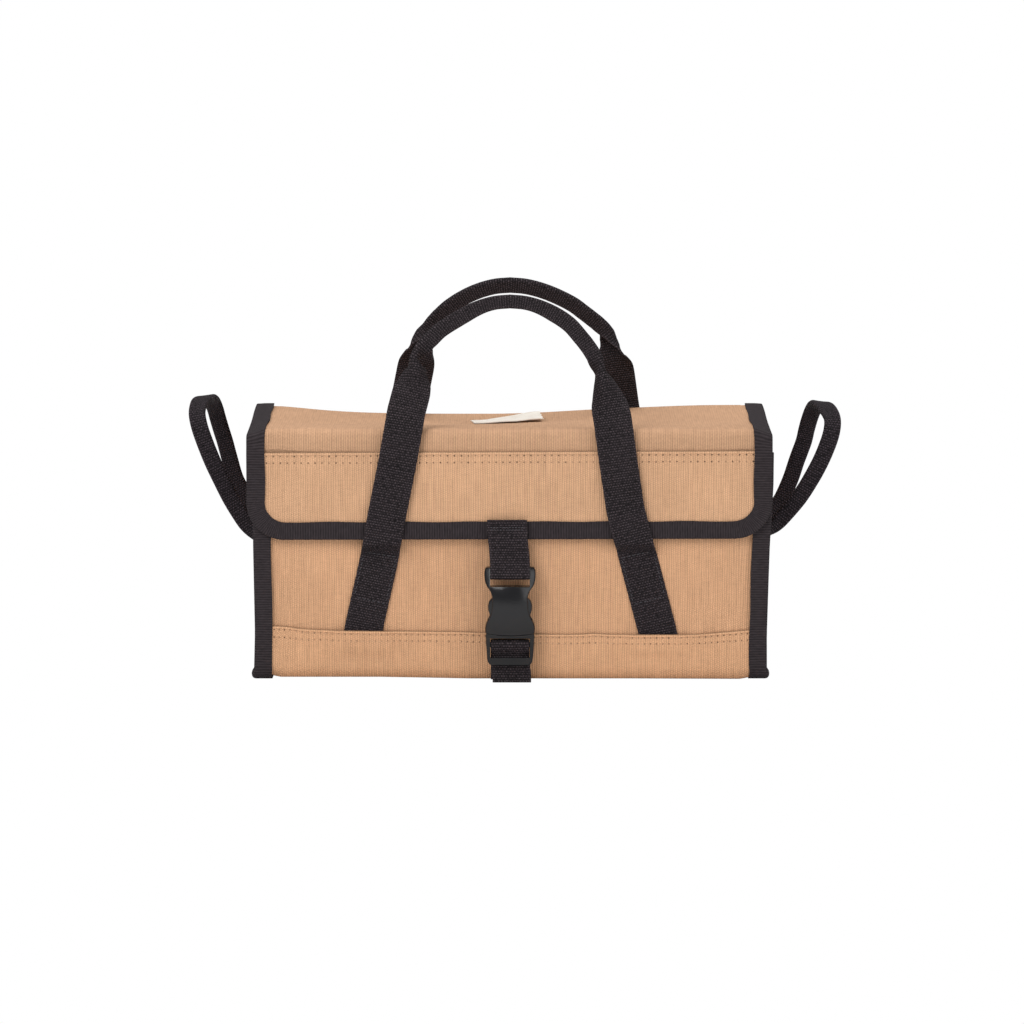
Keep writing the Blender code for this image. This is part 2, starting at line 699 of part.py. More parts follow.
def make_socket():
    # The socket: a crowned body open below, with ears that carry the strap's bar
    pivot = (0.0, -flap_fold_y, flap_top)
    y = -buckle_plane
    rows = [(x * socket_half_width, socket_mouth + z * socket_length, d * socket_depth / 2)
            for x, z, d in smooth_line(socket_share, 2)]
    rows.insert(0, (rows[0][0], socket_mouth - 2 * mouth_bow, rows[0][2]))
    crown = crown_share + [(-a, b) for a, b in crown_share[-2::-1]]
    sections = [[(a * x, -b * d) for a, b in crown] + [(-a * x, b * d) for a, b in crown]
                for x, z, d in rows]
    points = [(0.0, y, z) for x, z, d in rows]
    obj = sweep("buckle_socket", points, [(1, 0, 0)] * len(rows), [(0, 1, 0)] * len(rows), sections,
                "plastic", pivot)
    wide = 2 * socket_half_width
    below = mouth_line(socket_mouth, rows[0][0])
    below = [(-wide, below[0][1])] + below + [(wide, below[-1][1])]
    below += [(wide, socket_mouth - socket_depth), (-wide, socket_mouth - socket_depth)]
    combine(obj, guide(plate("socket_mouth_cutter", below, y - wide, y + wide, "plastic")), "DIFFERENCE")
    cavity = ((-cavity_half_width, cavity_half_width),
              (y - cavity_half_depth, y + cavity_half_depth),
              (socket_mouth - socket_depth, socket_mouth + cavity_length))
    combine(obj, cutter("socket_cavity_cutter", [cavity]), "DIFFERENCE")
    slot = ((-slot_half, slot_half), (y - wide, y + wide), (socket_body_top, socket_top + socket_depth))
    combine(obj, cutter("socket_slot_cutter", [slot]), "DIFFERENCE")
    bar = add_bar("socket_bar_guide", y, socket_bar_level, socket_bar, socket_bar)
    combine(obj, bar, "UNION")


def add_bar(name, y, z, depth, height):
    # A bar with rounded edges that reaches into both side rails
    reach = slot_half + webbing / 2
    corner = min(depth, height) * 0.3
    outline = []
    for cy, cz, start in ((1, 1, 0.0), (-1, 1, 90.0), (-1, -1, 180.0), (1, -1, 270.0)):
        center = (y + cy * (depth / 2 - corner), z + cz * (height / 2 - corner))
        outline += arc(center, corner, start, start + 90.0, 2)
    verts = [(x, a, b) for x in (-reach, reach) for a, b in outline]
    return guide(add_object(name, verts, ring_faces(2, len(outline)), "plastic"))


def make_plug():
    # The plug's frame with its adjuster bars, and its two springy prongs
    pivot = (0.0, -plug_swing_y, lower_seam_top)
    half = [(x * plug_half_width, plug_top - z * plug_length) for x, z in smooth_line(plug_share, 2)]
    y = -buckle_plane
    deep = plug_depth / 2
    outline = mirrored(half) + mouth_line(plug_top, half[0][0])[1:-1]
    obj = plate("buckle_plug", outline, y - deep, y + deep, "plastic", pivot)
    round_edges(obj, buckle_round)
    ladder = ((-slot_half, slot_half), (y - 2 * deep, y + 2 * deep),
              (plug_bottom + plug_end_bar, plug_top - plug_shoulder))
    combine(obj, cutter("plug_slot_cutter", [ladder]), "DIFFERENCE")
    behind = ((-slot_half, slot_half), (y - deep + plug_end_depth, y + 2 * deep),
              (plug_bottom - deep, plug_bottom + plug_end_bar + plug_shoulder))
    combine(obj, cutter("plug_tail_cutter", [behind]), "DIFFERENCE")
    bar = add_bar("plug_bar_guide", y, plug_bar_level, plug_bar_depth, plug_bar_height)
    combine(obj, bar, "UNION")
    thin = prong_depth / 2
    foot = sum(prong_share[i][0] for i in (0, -1)) / 2 * prong_half_reach
    for side, tag in ((-1, "left"), (1, "right")):
        outline = [(side * x * prong_half_reach, socket_mouth + z * prong_length)
                   for x, z in prong_share]
        prong = plate("buckle_prong_" + tag, outline, y - thin, y + thin, "plastic",
                      (side * foot, y, socket_mouth))
        round_edges(prong, buckle_round / 2)


def clear_scene():
    for obj in list(bpy.data.objects):
        bpy.data.objects.remove(obj, do_unlink=True)


clear_scene()
make_front_panel()
make_back_panel()
make_base_panel()
make_end(-1, "left")
make_end(1, "right")
make_lid()
make_flap()
make_handle("front_handle", -1, front_stand, front_lean)
make_handle("back_handle", 1, back_stand, back_lean)
make_loop(-1, "left")
make_loop(1, "right")
make_upper_strap()
make_socket()
make_plug()
make_lower_strap()
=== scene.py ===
import math

import bpy
import numpy as np
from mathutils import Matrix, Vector


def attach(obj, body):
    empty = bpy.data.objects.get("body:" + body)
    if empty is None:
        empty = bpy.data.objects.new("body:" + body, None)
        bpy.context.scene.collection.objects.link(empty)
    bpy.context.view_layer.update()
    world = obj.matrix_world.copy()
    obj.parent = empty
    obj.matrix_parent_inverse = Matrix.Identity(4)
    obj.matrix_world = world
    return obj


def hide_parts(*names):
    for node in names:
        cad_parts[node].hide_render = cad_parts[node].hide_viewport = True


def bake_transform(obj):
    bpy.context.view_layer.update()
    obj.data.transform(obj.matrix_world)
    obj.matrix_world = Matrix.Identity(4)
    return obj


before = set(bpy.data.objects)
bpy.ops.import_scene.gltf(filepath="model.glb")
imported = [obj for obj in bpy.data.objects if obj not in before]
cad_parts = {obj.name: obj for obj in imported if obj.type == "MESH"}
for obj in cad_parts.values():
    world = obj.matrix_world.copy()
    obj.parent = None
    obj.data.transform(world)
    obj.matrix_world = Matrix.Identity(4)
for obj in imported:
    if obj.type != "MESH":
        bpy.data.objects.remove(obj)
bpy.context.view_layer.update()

# Camera: straight on to the bag's front from 8 degrees up, with a long lens.
# The shift puts the bag where the photograph's frame has it. The body's middle lies center_y
# behind the frame's zero.
def added(name, data):
    """A new object of the scene."""
    thing = bpy.data.objects.new(name, data)
    bpy.context.scene.collection.objects.link(thing)
    return thing


center_y = 0.00435
aim = Vector((0.0, center_y, 0.12))
distance = 3.4469
elevation = math.radians(8.0083)
camera = added("camera", bpy.data.cameras.new("camera"))
back = Vector((0.0, -math.cos(elevation), math.sin(elevation)))
camera.location = aim + distance * back
camera.rotation_euler = back.to_track_quat("Z", "Y").to_euler()
camera.data.lens = 181.66
camera.data.sensor_width = 36.0
camera.data.shift_x = 0.0019
camera.data.shift_y = -0.0281
camera.data.clip_end = 50.0
bpy.context.scene.camera = camera
bpy.context.scene.view_settings.view_transform = "Standard"


# Stage: a white floor and sky, a large soft light from the upper left front, a weaker one from
# the right and one from above, as in a catalogue photograph.
class Signal:
    """A number in a shader, which adds, subtracts, multiplies and divides by its nodes."""

    def __init__(self, tree, socket):
        self.tree = tree
        self.socket = socket

    def math(self, operation, *values):
        node = self.tree.nodes.new("ShaderNodeMath")
        node.operation = operation
        for socket, value in zip(node.inputs, values):
            if isinstance(value, Signal):
                self.tree.links.new(value.socket, socket)
            else:
                socket.default_value = value
        return Signal(self.tree, node.outputs[0])

    def __add__(self, other):
        return self.math("ADD", self, other)

    def __sub__(self, other):
        return self.math("SUBTRACT", self, other)

    def __rsub__(self, other):
        return self.math("SUBTRACT", other, self)

    def __mul__(self, other):
        return self.math("MULTIPLY", self, other)

    def __truediv__(self, other):
        return self.math("DIVIDE", self, other)

    __radd__ = __add__
    __rmul__ = __mul__

    def wave(self, pitch, phase=0.0):
        """0 to 1 and back over each pitch."""
        turn = self.math("SINE", self * (2 * math.pi / pitch) + phase)
        return turn * 0.5 + 0.5

    def step(self, pitch):
        """The number of whole pitches."""
        return self.math("FLOOR", self / pitch)

    def near(self, value, width):
        """1 at the value, falling to 0 a width away."""
        away = self.math("ABSOLUTE", self - value)
        return self.math("SMOOTH_MAX", 1.0 - away / width, 0.0, 0.1)


class Surface:
    """One material: a Principled shader, and the nodes that feed it."""

    def __init__(self, name, roughness, **constants):
        self.material = bpy.data.materials.new(name)
        self.material.use_nodes = True
        self.tree = self.material.node_tree
        self.shader = self.tree.nodes["Principled BSDF"]
        self.shader.inputs["Roughness"].default_value = roughness
        for socket, value in constants.items():
            self.shader.inputs[socket.replace("_", " ")].default_value = value

    def add(self, kind, settings=None, sockets=None):
        """A node of a kind, with its settings and its sockets' values or links."""
        node = self.tree.nodes.new(kind)
        for key, value in (settings or {}).items():
            setattr(node, key, value)
        for key, value in (sockets or {}).items():
            if isinstance(value, Signal):
                self.tree.links.new(value.socket, node.inputs[key])
            elif isinstance(value, bpy.types.NodeSocket):
                self.tree.links.new(value, node.inputs[key])
            else:
                node.inputs[key].default_value = value
        return node

    def cloth(self):
        """The cloth's own coordinates, in metres across and along it."""
        node = self.add("ShaderNodeUVMap", {"uv_map": "cloth"})
        split = self.add("ShaderNodeSeparateXYZ", None, {0: node.outputs[0]})
        return Signal(self.tree, split.outputs[0]), Signal(self.tree, split.outputs[1])

    def place(self):
        """The point's place on the object, in metres."""
        return self.add("ShaderNodeTexCoord").outputs["Object"]

    def noise(self, scale, detail=2.0, vector=None):
        """Soft noise over the object, or over another vector."""
        sockets = {"Vector": vector or self.place(), "Scale": scale, "Detail": detail}
        return Signal(self.tree, self.add("ShaderNodeTexNoise", None, sockets).outputs["Fac"])

    def grain(self, x, y, detail=1.0):
        """Noise over the cloth's coordinates, each already scaled."""
        vector = self.add("ShaderNodeCombineXYZ", None, {0: x, 1: y}).outputs[0]
        return self.noise(1.0, detail, vector)

    def mix(self, factor, first, second):
        node = self.add("ShaderNodeMix", {"data_type": "RGBA", "clamp_factor": True},
                        {0: factor, 6: first, 7: second})
        return node.outputs[2]

    def finish(self, color, height, distance, strength, normal=None):
        """Colour and relief; the relief starts from the mesh's normal or the one given."""
        self.tree.links.new(color, self.shader.inputs["Base Color"])
        sockets = {"Height": height, "Distance": distance, "Strength": strength}
        if normal is not None:
            sockets["Normal"] = normal
        bump = self.add("ShaderNodeBump", None, sockets)
        self.tree.links.new(bump.outputs[0], self.shader.inputs["Normal"])
        return self.material


def shade(color, factor):
    """A colour made lighter or darker."""
    return (color[0] * factor, color[1] * factor, color[2] * factor, 1.0)


floor_level = -0.0004
floor_reach = 6.0
floor_corners = [(x * floor_reach, y * floor_reach, floor_level)
                 for x, y in ((-1, -1), (1, -1), (1, 1), (-1, 1))]
floor_mesh = bpy.data.meshes.new("floor")
floor_mesh.from_pydata(floor_corners, [], [(0, 1, 2, 3)])
floor = added("floor", floor_mesh)


def white_to_camera(tree, kind, shader, output):
    """Show the camera plain white in place of a shader, which still lights the object."""
    white = tree.nodes.new(kind)
    white.inputs["Color"].default_value = (1.0, 1.0, 1.0, 1.0)
    white.inputs["Strength"].default_value = 1.0
    rays = tree.nodes.new("ShaderNodeLightPath")
    choose = tree.nodes.new("ShaderNodeMixShader")
    tree.links.new(rays.outputs["Is Camera Ray"], choose.inputs[0])
    tree.links.new(shader.outputs[0], choose.inputs[1])
    tree.links.new(white.outputs[0], choose.inputs[2])
    tree.links.new(choose.outputs[0], tree.nodes[output].inputs["Surface"])


paper = Surface("floor_white", 0.9, Base_Color=(0.90, 0.90, 0.90, 1.0))
white_to_camera(paper.tree, "ShaderNodeEmission", paper.shader, "Material Output")
floor_mesh.materials.append(paper.material)

world = bpy.data.worlds.new("studio")
bpy.context.scene.world = world
world.use_nodes = True
sky = world.node_tree.nodes["Background"]
sky.inputs["Color"].default_value = (1.0, 1.0, 1.0, 1.0)
sky.inputs["Strength"].default_value = 0.40
white_to_camera(world.node_tree, "ShaderNodeBackground", sky, "World Output")

for name, spot, size, watts in (("key", (-1.1, -1.7, 1.7), 1.2, 36.0),
                                ("fill", (1.6, -1.5, 0.8), 1.4, 12.4),
                                ("top", (0.0, 0.4, 2.2), 1.4, 28.0)):
    lamp = added(name, bpy.data.lights.new(name, "AREA"))
    lamp.data.size = size
    lamp.data.energy = watts
    lamp.location = spot
    lamp.rotation_euler = (Vector(spot) - aim).to_track_quat("Z", "Y").to_euler()


# Canvas of the body: tan, woven in fine upright ribs, with thicker and thinner threads and a
# faint unevenness across the cloth. Needle holes are small dimples with painted shade in them,
# no two quite alike.
def solid(name, points, faces, material):
    """A smooth mesh piece."""
    mesh = bpy.data.meshes.new(name)
    mesh.from_pydata(points.tolist(), [], faces)
    mesh.materials.append(material)
    mesh.shade_smooth()
    return added(name, mesh)


def cloth(name, outer, inner, u, v, material):
    """A closed piece of cloth from its outer and inner faces: rows of points along v, columns
    across u. Its coordinates are kept in metres for the weave."""
    outer = np.asarray(outer, float)
    inner = np.asarray(inner, float)
    rows, cols = outer.shape[:2]
    size = rows * cols
    index = np.arange(size).reshape(rows, cols)
    # Faces of the outer side and the inner side, and the rim between them
    quads = np.stack([index[:-1, :-1], index[:-1, 1:], index[1:, 1:], index[1:, :-1]], -1)
    quads = quads.reshape(-1, 4)
    edge = np.concatenate([index[0, :-1], index[:-1, -1], index[-1, :0:-1], index[:0:-1, 0]])
    rim = np.stack([np.roll(edge, -1), edge, edge + size, np.roll(edge, -1) + size], -1)
    faces = np.concatenate([quads, quads[:, ::-1] + size, rim])
    points = np.concatenate([outer.reshape(-1, 3), inner.reshape(-1, 3)])
    piece = solid(name, points, faces.tolist(), material)
    flat = np.stack(np.meshgrid(u, v), -1).reshape(-1, 2)
    flat = np.concatenate([flat, flat])
    layer = piece.data.uv_layers.new(name="cloth")
    layer.data.foreach_set("uv", flat[faces.reshape(-1)].reshape(-1))
    volume = sum(np.dot(points[f[0]], np.cross(points[f[1]], points[f[2]])) +
                 np.dot(points[f[0]], np.cross(points[f[2]], points[f[3]])) for f in faces)
    if volume < 0:
        piece.data.flip_normals()
    piece.data.set_sharp_from_angle(angle=math.radians(48.0))
    return piece


def sheet_of(name, surface, thick, u, v, material, flip=False):
    """A cloth whose outer face is the surface and whose inner face lies a thickness behind."""
    normal = np.cross(np.gradient(surface, axis=1), np.gradient(surface, axis=0))
    normal /= np.linalg.norm(normal, axis=-1, keepdims=True)
    inner = surface + thick * normal if flip else surface - thick * normal
    return cloth(name, surface, inner, u, v, material)


def smooth(t):
    """0 to 1 with soft ends, as t goes from 0 to 1."""
    t = np.clip(t, 0.0, 1.0)
    return t * t * (3.0 - 2.0 * t)


def canvas_material(name, color, seams=(), edges=(), bold_from=None):
    """Canvas with rows of needle holes at (height, pitch) along v, each with painted shade, and cut
    edges turned under at (height, way in), each with a painted highlight along its fold and a
    painted shadow line at its edge. Its ribs stand out beyond the height bold_from, if one is given."""
    surface = Surface(name, 0.9, Specular_IOR_Level=0.12)
    u, v = surface.cloth()
    rib_pitch, pick_pitch, stagger = 0.00152, 0.00125, 0.00062
    wander = surface.grain(u * 90.0, v * 40.0, 2.0)
    ribs = u.wave(rib_pitch, wander * (5.0 if bold_from is None else 1.5))
    picks = (v + u.step(rib_pitch) * stagger).wave(pick_pitch)
    if bold_from is not None:
        bold = (v - bold_from).math("SMOOTH_MIN", (v - bold_from) / 0.006, 1.0, 0.2)
        bold = bold.math("MAXIMUM", bold, 0.3)
        ribs = (ribs - 0.5) * bold + 0.5
        picks = (picks - 0.5) * bold * 0.4 + 0.5
    thread = surface.grain(u * 660.0, v * 45.0)
    slub = surface.grain(u * 120.0, v * 900.0)
    patch = surface.noise(14.0, 3.0)
    weave = ribs * 0.16 + picks * 0.08 + ribs * picks * 0.42
    tone = weave + thread * 0.42 + slub * 0.28 + patch * 0.30 - 0.25
    height = ribs * 0.40 + ribs * picks * 0.50 + thread * 0.25
    dark = 0.0
    uneven = surface.grain(u * 260.0, v * 260.0)
    for level, pitch in seams:
        # The power narrows each wave to a hole
        dots = u.wave(pitch, math.pi / 2)
        # Painted shade in each needle hole
        dark = v.near(level, 0.00075) * dots.math("POWER", dots, 12.0) * (uneven * 3.0 - 0.55) + dark
    for level, way in edges:
        # Painted highlight along the ridge of the turned edge
        ridge = v.near(level + way * 0.0012, 0.0010)
        tone = tone + ridge * 0.30
        height = height + ridge * 2.0
        # Painted shadow line at the edge itself, where the lap steps onto the cloth beneath
        dark = v.near(level, 0.0006) * 0.55 + dark
    soft = surface.noise(38.0, 1.0)
    shaded = surface.mix(tone, shade(color, 0.58), shade(color, 1.38))
    # The painted shade of the needle holes and the edge lines darkens the colour, and the holes sink the
    # relief
    if seams:
        shaded = surface.mix(dark, shaded, shade(color, 0.14))
        height = height - dark * 2.5
    return surface.finish(shaded, height + soft * 5.0, 0.00032, 0.9)


canvas_body = canvas_material("canvas_body", (0.576, 0.328, 0.188))

# Thickness of the cloth, and the air left between one layer and the next
canvas = 0.0011
gap = 0.0003

# Front panel: one sheet of canvas, sewn into the end seams and tucked under the base's lap, its
# mouth leaning in behind the flap. The first values are half the body's depth, half its width
# out to the cut edges in the end seams, and its height.
half_depth = 0.075
seam_edge = 0.1677
rim = 0.1495
lean_start = 0.118


def table(at, places, values):
    """A measure read off from a table in millimetres."""
    return np.interp(np.asarray(at) * 1000.0, places, values) * 0.001


def settled(points):
    """The body as it stands: its left seam drawn in a little, its right one leaning out."""
    points = np.array(points, float)
    x, z = points[..., 0], points[..., 2]
    left = table(z, (8, 32, 88, 150), (0.9, 1.6, 0.8, 0.8))
    right = table(z, (8, 30, 50, 70, 88, 110, 130, 150), (-0.3, -0.5, 0.0, 0.5, 1.0, 2.1, 3.3, 3.7))
    points[..., 0] += smooth((abs(x) - 0.1450) / 0.0115) * np.where(x < 0, left, right)
    points[..., 1] += center_y
    return points


def front_lean(z):
    """How far the mouth leans in at a height."""
    share = (z - lean_start) / (rim - lean_start)
    return 0.008 * np.interp(share, (0.0, 0.2, 0.4, 0.6, 0.8, 1.0), (0.0, 0.10, 0.31, 0.55, 0.78, 1.0))


def front_swell(x, z):
    """How far the front cloth stands out, softly uneven, flat at its seams and sewn pieces."""
    free = smooth((0.152 - abs(x)) / 0.03) * smooth((z - 0.038) / 0.03) * smooth((0.118 - z) / 0.03)
    waves = np.sin(x * 41.0 + 0.6) * 0.5 + np.sin(x * 17.0 - 1.0) + 0.6 * np.sin(z * 70.0 + x * 12.0)
    return free * (0.0005 + 0.00035 * waves)


front_low = 0.0105
zs = np.concatenate([np.linspace(front_low, lean_start, 44), np.linspace(lean_start, rim, 10)[1:]])
xs = np.linspace(-seam_edge, seam_edge, 90)
X, Z = np.meshgrid(xs, zs)
Y = -half_depth + front_lean(Z) - front_swell(X, Z)
front = sheet_of("front_cloth", settled(np.stack([X, Y, Z], -1)), canvas, xs, zs, canvas_body)
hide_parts("front_panel")
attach(front, "bag")

# Back panel: one sheet of canvas, sewn into the end seams, the base's back lap and the lid's
# turned edge. It reaches up to the lid, which sags between the bag's ends, most at its back edge.
def lid_sag(x, y):
    """How far the lid's cloth stands above its flat place."""
    near = np.asarray(x)[..., None] + np.linspace(-0.014, 0.014, 9)
    sag = table(near, (-171, -155, -139, -123, -106, -90, -50, 0, 24, 40, 60, 92, 108, 124, 141, 171),
                (1.3, 0.7, -1.1, -2.6, -3.6, -4.2, -4.7, -4.7, -3.7, -2.7, -1.5, -0.2, 0.5, 1.1, 1.3, 1.3))
    return sag.mean(-1) * smooth((y + 0.070) / 0.140)


half_panel = 0.157
rear_low, rear_top = 0.0107, 0.1596
inner = half_panel - canvas - gap
xs = np.concatenate([[-seam_edge, -inner - 0.0001], np.linspace(-inner, inner, 70),
                     [inner + 0.0001, seam_edge]])
share = np.linspace(0.0, 1.0, 46)
top = np.where(abs(xs) > inner, rim, rear_top + lid_sag(xs, half_depth))
Z = rear_low + (top[None, :] - rear_low) * share[:, None]
X = np.broadcast_to(xs, Z.shape)
swell = smooth((inner - abs(X)) / 0.03) * smooth((Z - 0.036) / 0.03) * smooth((0.140 - Z) / 0.03)
Y = half_depth + swell * (0.0004 + 0.0003 * np.sin(X * 33.0) + 0.0002 * np.sin(Z * 60.0 + X * 14.0))
rear = sheet_of("back_cloth", settled(np.stack([X, Y, Z], -1)), canvas, xs, share * 0.149, canvas_body,
                flip=True)
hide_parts("back_panel")
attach(rear, "bag")


# Base: one cloth under the bag, lapped up the front and the back and over the handles' sewn ends.
# Each lap is sewn with two rows of stitches.
lift = 0.0024
corner = 0.008
lap_top = 0.033
webbing = 0.0016
sewn_end_x, sewn_end_half = 0.0964, 0.0140
base_rows = (0.0023, 0.0067)
base_pitch = 0.0040


def mitres(points):
    """The offset to the left at each point of a plane path, stretched at its bends."""
    points = np.asarray(points, float)
    step = np.diff(points, axis=0)
    step /= np.linalg.norm(step, axis=1)[:, None]
    normal = np.stack([-step[:, 1], step[:, 0]], axis=1)
    bends = [(a + b) / (1.0 + a @ b) for a, b in zip(normal[:-1], normal[1:])]
    return np.array([normal[0]] + bends + [normal[-1]])


def arc(center, radius, start, end, steps):
    """Points of an arc in a plane, from one angle to another, in degrees."""
    angles = np.radians(np.linspace(start, end, steps + 1))
    return [(center[0] + radius * math.cos(a), center[1] + radius * math.sin(a)) for a in angles]


def densify(points, pitch):
    """The same path with a point at least every pitch."""
    result = [points[0]]
    for a, b in zip(points[:-1], points[1:]):
        count = max(1, int(math.ceil(math.dist(a, b) / pitch)))
        a, b = np.array(a), np.array(b)
        result += [tuple(a + (b - a) * k / count) for k in range(1, count + 1)]
    return result


def lengths(points):
    """Distance along a path at each of its points."""
    step = np.linalg.norm(np.diff(np.asarray(points, float), axis=0), axis=1)
    return np.concatenate([[0.0], np.cumsum(step)])


def read(at, marks, points):
    """Points read off between marks: one row for each coordinate."""
    return np.array([np.interp(at, marks, column) for column in np.asarray(points).T])


def under_side(pitch):
    """Side view of the bag's bottom and its rounded corners, from front to back."""
    line = arc((-half_depth + corner, lift + corner), corner, 180.0, 270.0, 8)[1:]
    line += densify([(-half_depth + corner, lift), (half_depth - corner, lift)], pitch)[1:]
    return line + arc((half_depth - corner, lift + corner), corner, 270.0, 360.0, 8)[1:]


levels = list(np.linspace(lap_top, lift + corner, 16))
line = [(-half_depth, z) for z in levels] + under_side(0.008) + [(half_depth, z) for z in levels[-2::-1]]
line = np.array(line)
offset = -mitres(line)
xs = np.linspace(-seam_edge, seam_edge, 120)
y, z = line[:, :1], line[:, 1:]
# How far the base's inner face stands off the body's seam line, under the bag and on its walls
under = lift - canvas - (lift - canvas - gap) * smooth((abs(xs) - 0.151) / 0.006)
over = 1.0 - smooth((abs(abs(xs) - sewn_end_x) - sewn_end_half) / 0.0090)
wall = gap + (webbing + gap) * over * smooth((z - 0.0140) / 0.0090)
stand = under + (wall - under) * smooth((z - lift) / corner)
# The lap's edge wanders against the level, and the left half of the bottom stands a little high
lap_x = (-154, -146, -138, -130, -115, -75, -50, -30, -20, 28, 45, 55, 65, 122, 131, 138, 146, 154)
lap_edge = table(xs, lap_x, (3.4, 3.1, 1.8, 1.2, 0.6, 0.1, -0.2, -0.4, -0.9, -2.1, -2.1, -1.4, -2.1, -2.1,
                             -1.4, -0.8, -0.1, 0.6))
raised = table(xs, (-85, -56, -26, 80, 150), (1.1, 0.6, 0.0, 0.0, -0.3))
moved = lap_edge * (smooth((z - 0.0120) / 0.0210) * (y < 0))
moved = moved + raised * (smooth((-0.050 - y) / 0.02) * (1.0 - smooth((z - 0.004) / 0.012)))
faces = []
for n in (stand + canvas, stand):
    Y, Z = y + n * offset[:, :1], z + n * offset[:, 1:] + moved
    faces.append(settled(np.stack([np.broadcast_to(xs, n.shape), Y, Z], -1)))
path_v = lengths(line)
row_levels = base_rows + tuple(path_v[-1] - row for row in base_rows)
# Painted shade in its needle holes, and a painted highlight and a painted shadow line along each lap's edge
canvas_base = canvas_material("canvas_base", (0.600, 0.342, 0.194),
                              [(level, base_pitch) for level in row_levels],
                              ((0.0, 1.0), (path_v[-1], -1.0)))
base = cloth("base_cloth", faces[0], faces[1], xs, path_v, canvas_base)
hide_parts("base_panel")
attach(base, "bag")


def thread_material(name, roughness, specular, dark, light):
    surface = Surface(name, roughness, Specular_IOR_Level=specular)
    strand = surface.noise(1400.0, 1.0)
    return surface.finish(surface.mix(strand, shade(dark, 1.0), shade(light, 1.0)), strand, 0.0001, 0.6)


def threads(name, rows, pitch, radius, material):
    """Stitches along rows, each a path and the way it faces, one to each pitch, as small beads of
    thread that dip into the cloth at their ends."""
    starts, ends, ups = [], [], []
    half_stitch = 0.36
    for path, facing in rows:
        path = np.asarray(path, float)
        along = lengths(path)
        for k in range(int(along[-1] / pitch - 0.5) + 1):
            a = (k + 0.5 - half_stitch) * pitch
            b = (k + 0.5 + half_stitch) * pitch
            if b > along[-1]:
                continue
            starts.append(read(a, along, path))
            ends.append(read(b, along, path))
            ups.append(facing)
    starts, ends, ups = np.array(starts), np.array(ends), np.array(ups)
    side = np.cross(ups, ends - starts)
    side /= np.linalg.norm(side, axis=1)[:, None]
    uneven = np.sin(np.arange(len(starts)) * 2.3) * 0.10 * radius
    # Each bead is five rings of six points: where along the stitch, how high and how thick
    profile = ((0.0, -0.9, 0.5), (0.16, 0.1, 0.95), (0.5, 0.35, 1.05), (0.84, 0.1, 0.95), (1.0, -0.9, 0.5))
    sides = 6
    rings = []
    for share, high, fat in profile:
        center = starts + (ends - starts) * share + ups * (high * radius) + side * uneven[:, None]
        fat = fat * radius
        rings.append(np.stack([center + ups * (fat * math.cos(a)) + side * (fat * math.sin(a))
                               for a in np.linspace(0.0, 2 * math.pi, sides, endpoint=False)], 1))
    points = np.stack(rings, 1).reshape(-1, 3)
    faces = []
    for bead in range(0, len(points), sides * len(rings)):
        last = bead + sides * (len(rings) - 1)
        for near in range(bead, last, sides):
            for k in range(sides):
                after = (k + 1) % sides
                faces.append((near + k, near + after, near + sides + after, near + sides + k))
        faces.append(tuple(range(bead + sides - 1, bead - 1, -1)))
        faces.append(tuple(range(last, last + sides)))
    piece = solid(name, points, faces, material)
    return piece


thread_tan = thread_material("thread_tan", 0.75, 0.15, (0.44, 0.255, 0.150), (0.70, 0.43, 0.265))
tan_radius = 0.00024
rows = []
first = 7
for level in row_levels:
    path = np.array([read(level, path_v, faces[0][:, i]) for i in range(first, len(xs) - first)])
    # The row starts at a whole number of stitches from the middle, as its needle holes do
    start = -xs[first] % base_pitch
    path[0] += (path[1] - path[0]) * start / (path[1, 0] - path[0, 0])
    rows.append((path, (0.0, -1.0, 0.0) if level in base_rows else (0.0, 1.0, 0.0)))
base_thread = threads("thread_base", rows, base_pitch, tan_radius, thread_tan)
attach(base_thread, "bag")


# End panels: a wall that bellies softly between its seams, its edge turned out into them. The
# seam line runs from the front rim under the base to the back rim.
def end_swell(y, z):
    """The end wall's belly, flat along its seams and at the loops' sewn ends."""
    from_seam = np.minimum(np.minimum(0.0725 - abs(y), z - 0.005), 0.1495 - z + 0.02)
    tabs = smooth((np.hypot((abs(y) - 0.050) / 0.011, (z - 0.064) / 0.024) - 1.0) / 1.2)
    crease = np.sin(y * 75.0 + z * 22.0) * 0.35 + np.sin(y * 31.0 - z * 48.0) * 0.5
    return smooth(from_seam / 0.03) * tabs * (0.0022 + 0.0016 * crease)


def upright(x, points):
    """The points of a side view, set at x."""
    return np.stack([np.full(len(points), x), points[:, 0], points[:, 1]], -1)


def lay_flat(piece, place):
    """Give a piece cloth coordinates worked out from the places of its points."""
    points = np.array([vertex.co for vertex in piece.data.vertices])
    corners = np.zeros(len(piece.data.loops), int)
    piece.data.loops.foreach_get("vertex_index", corners)
    piece.data.uv_layers["cloth"].data.foreach_set("uv", place(points)[corners].reshape(-1))


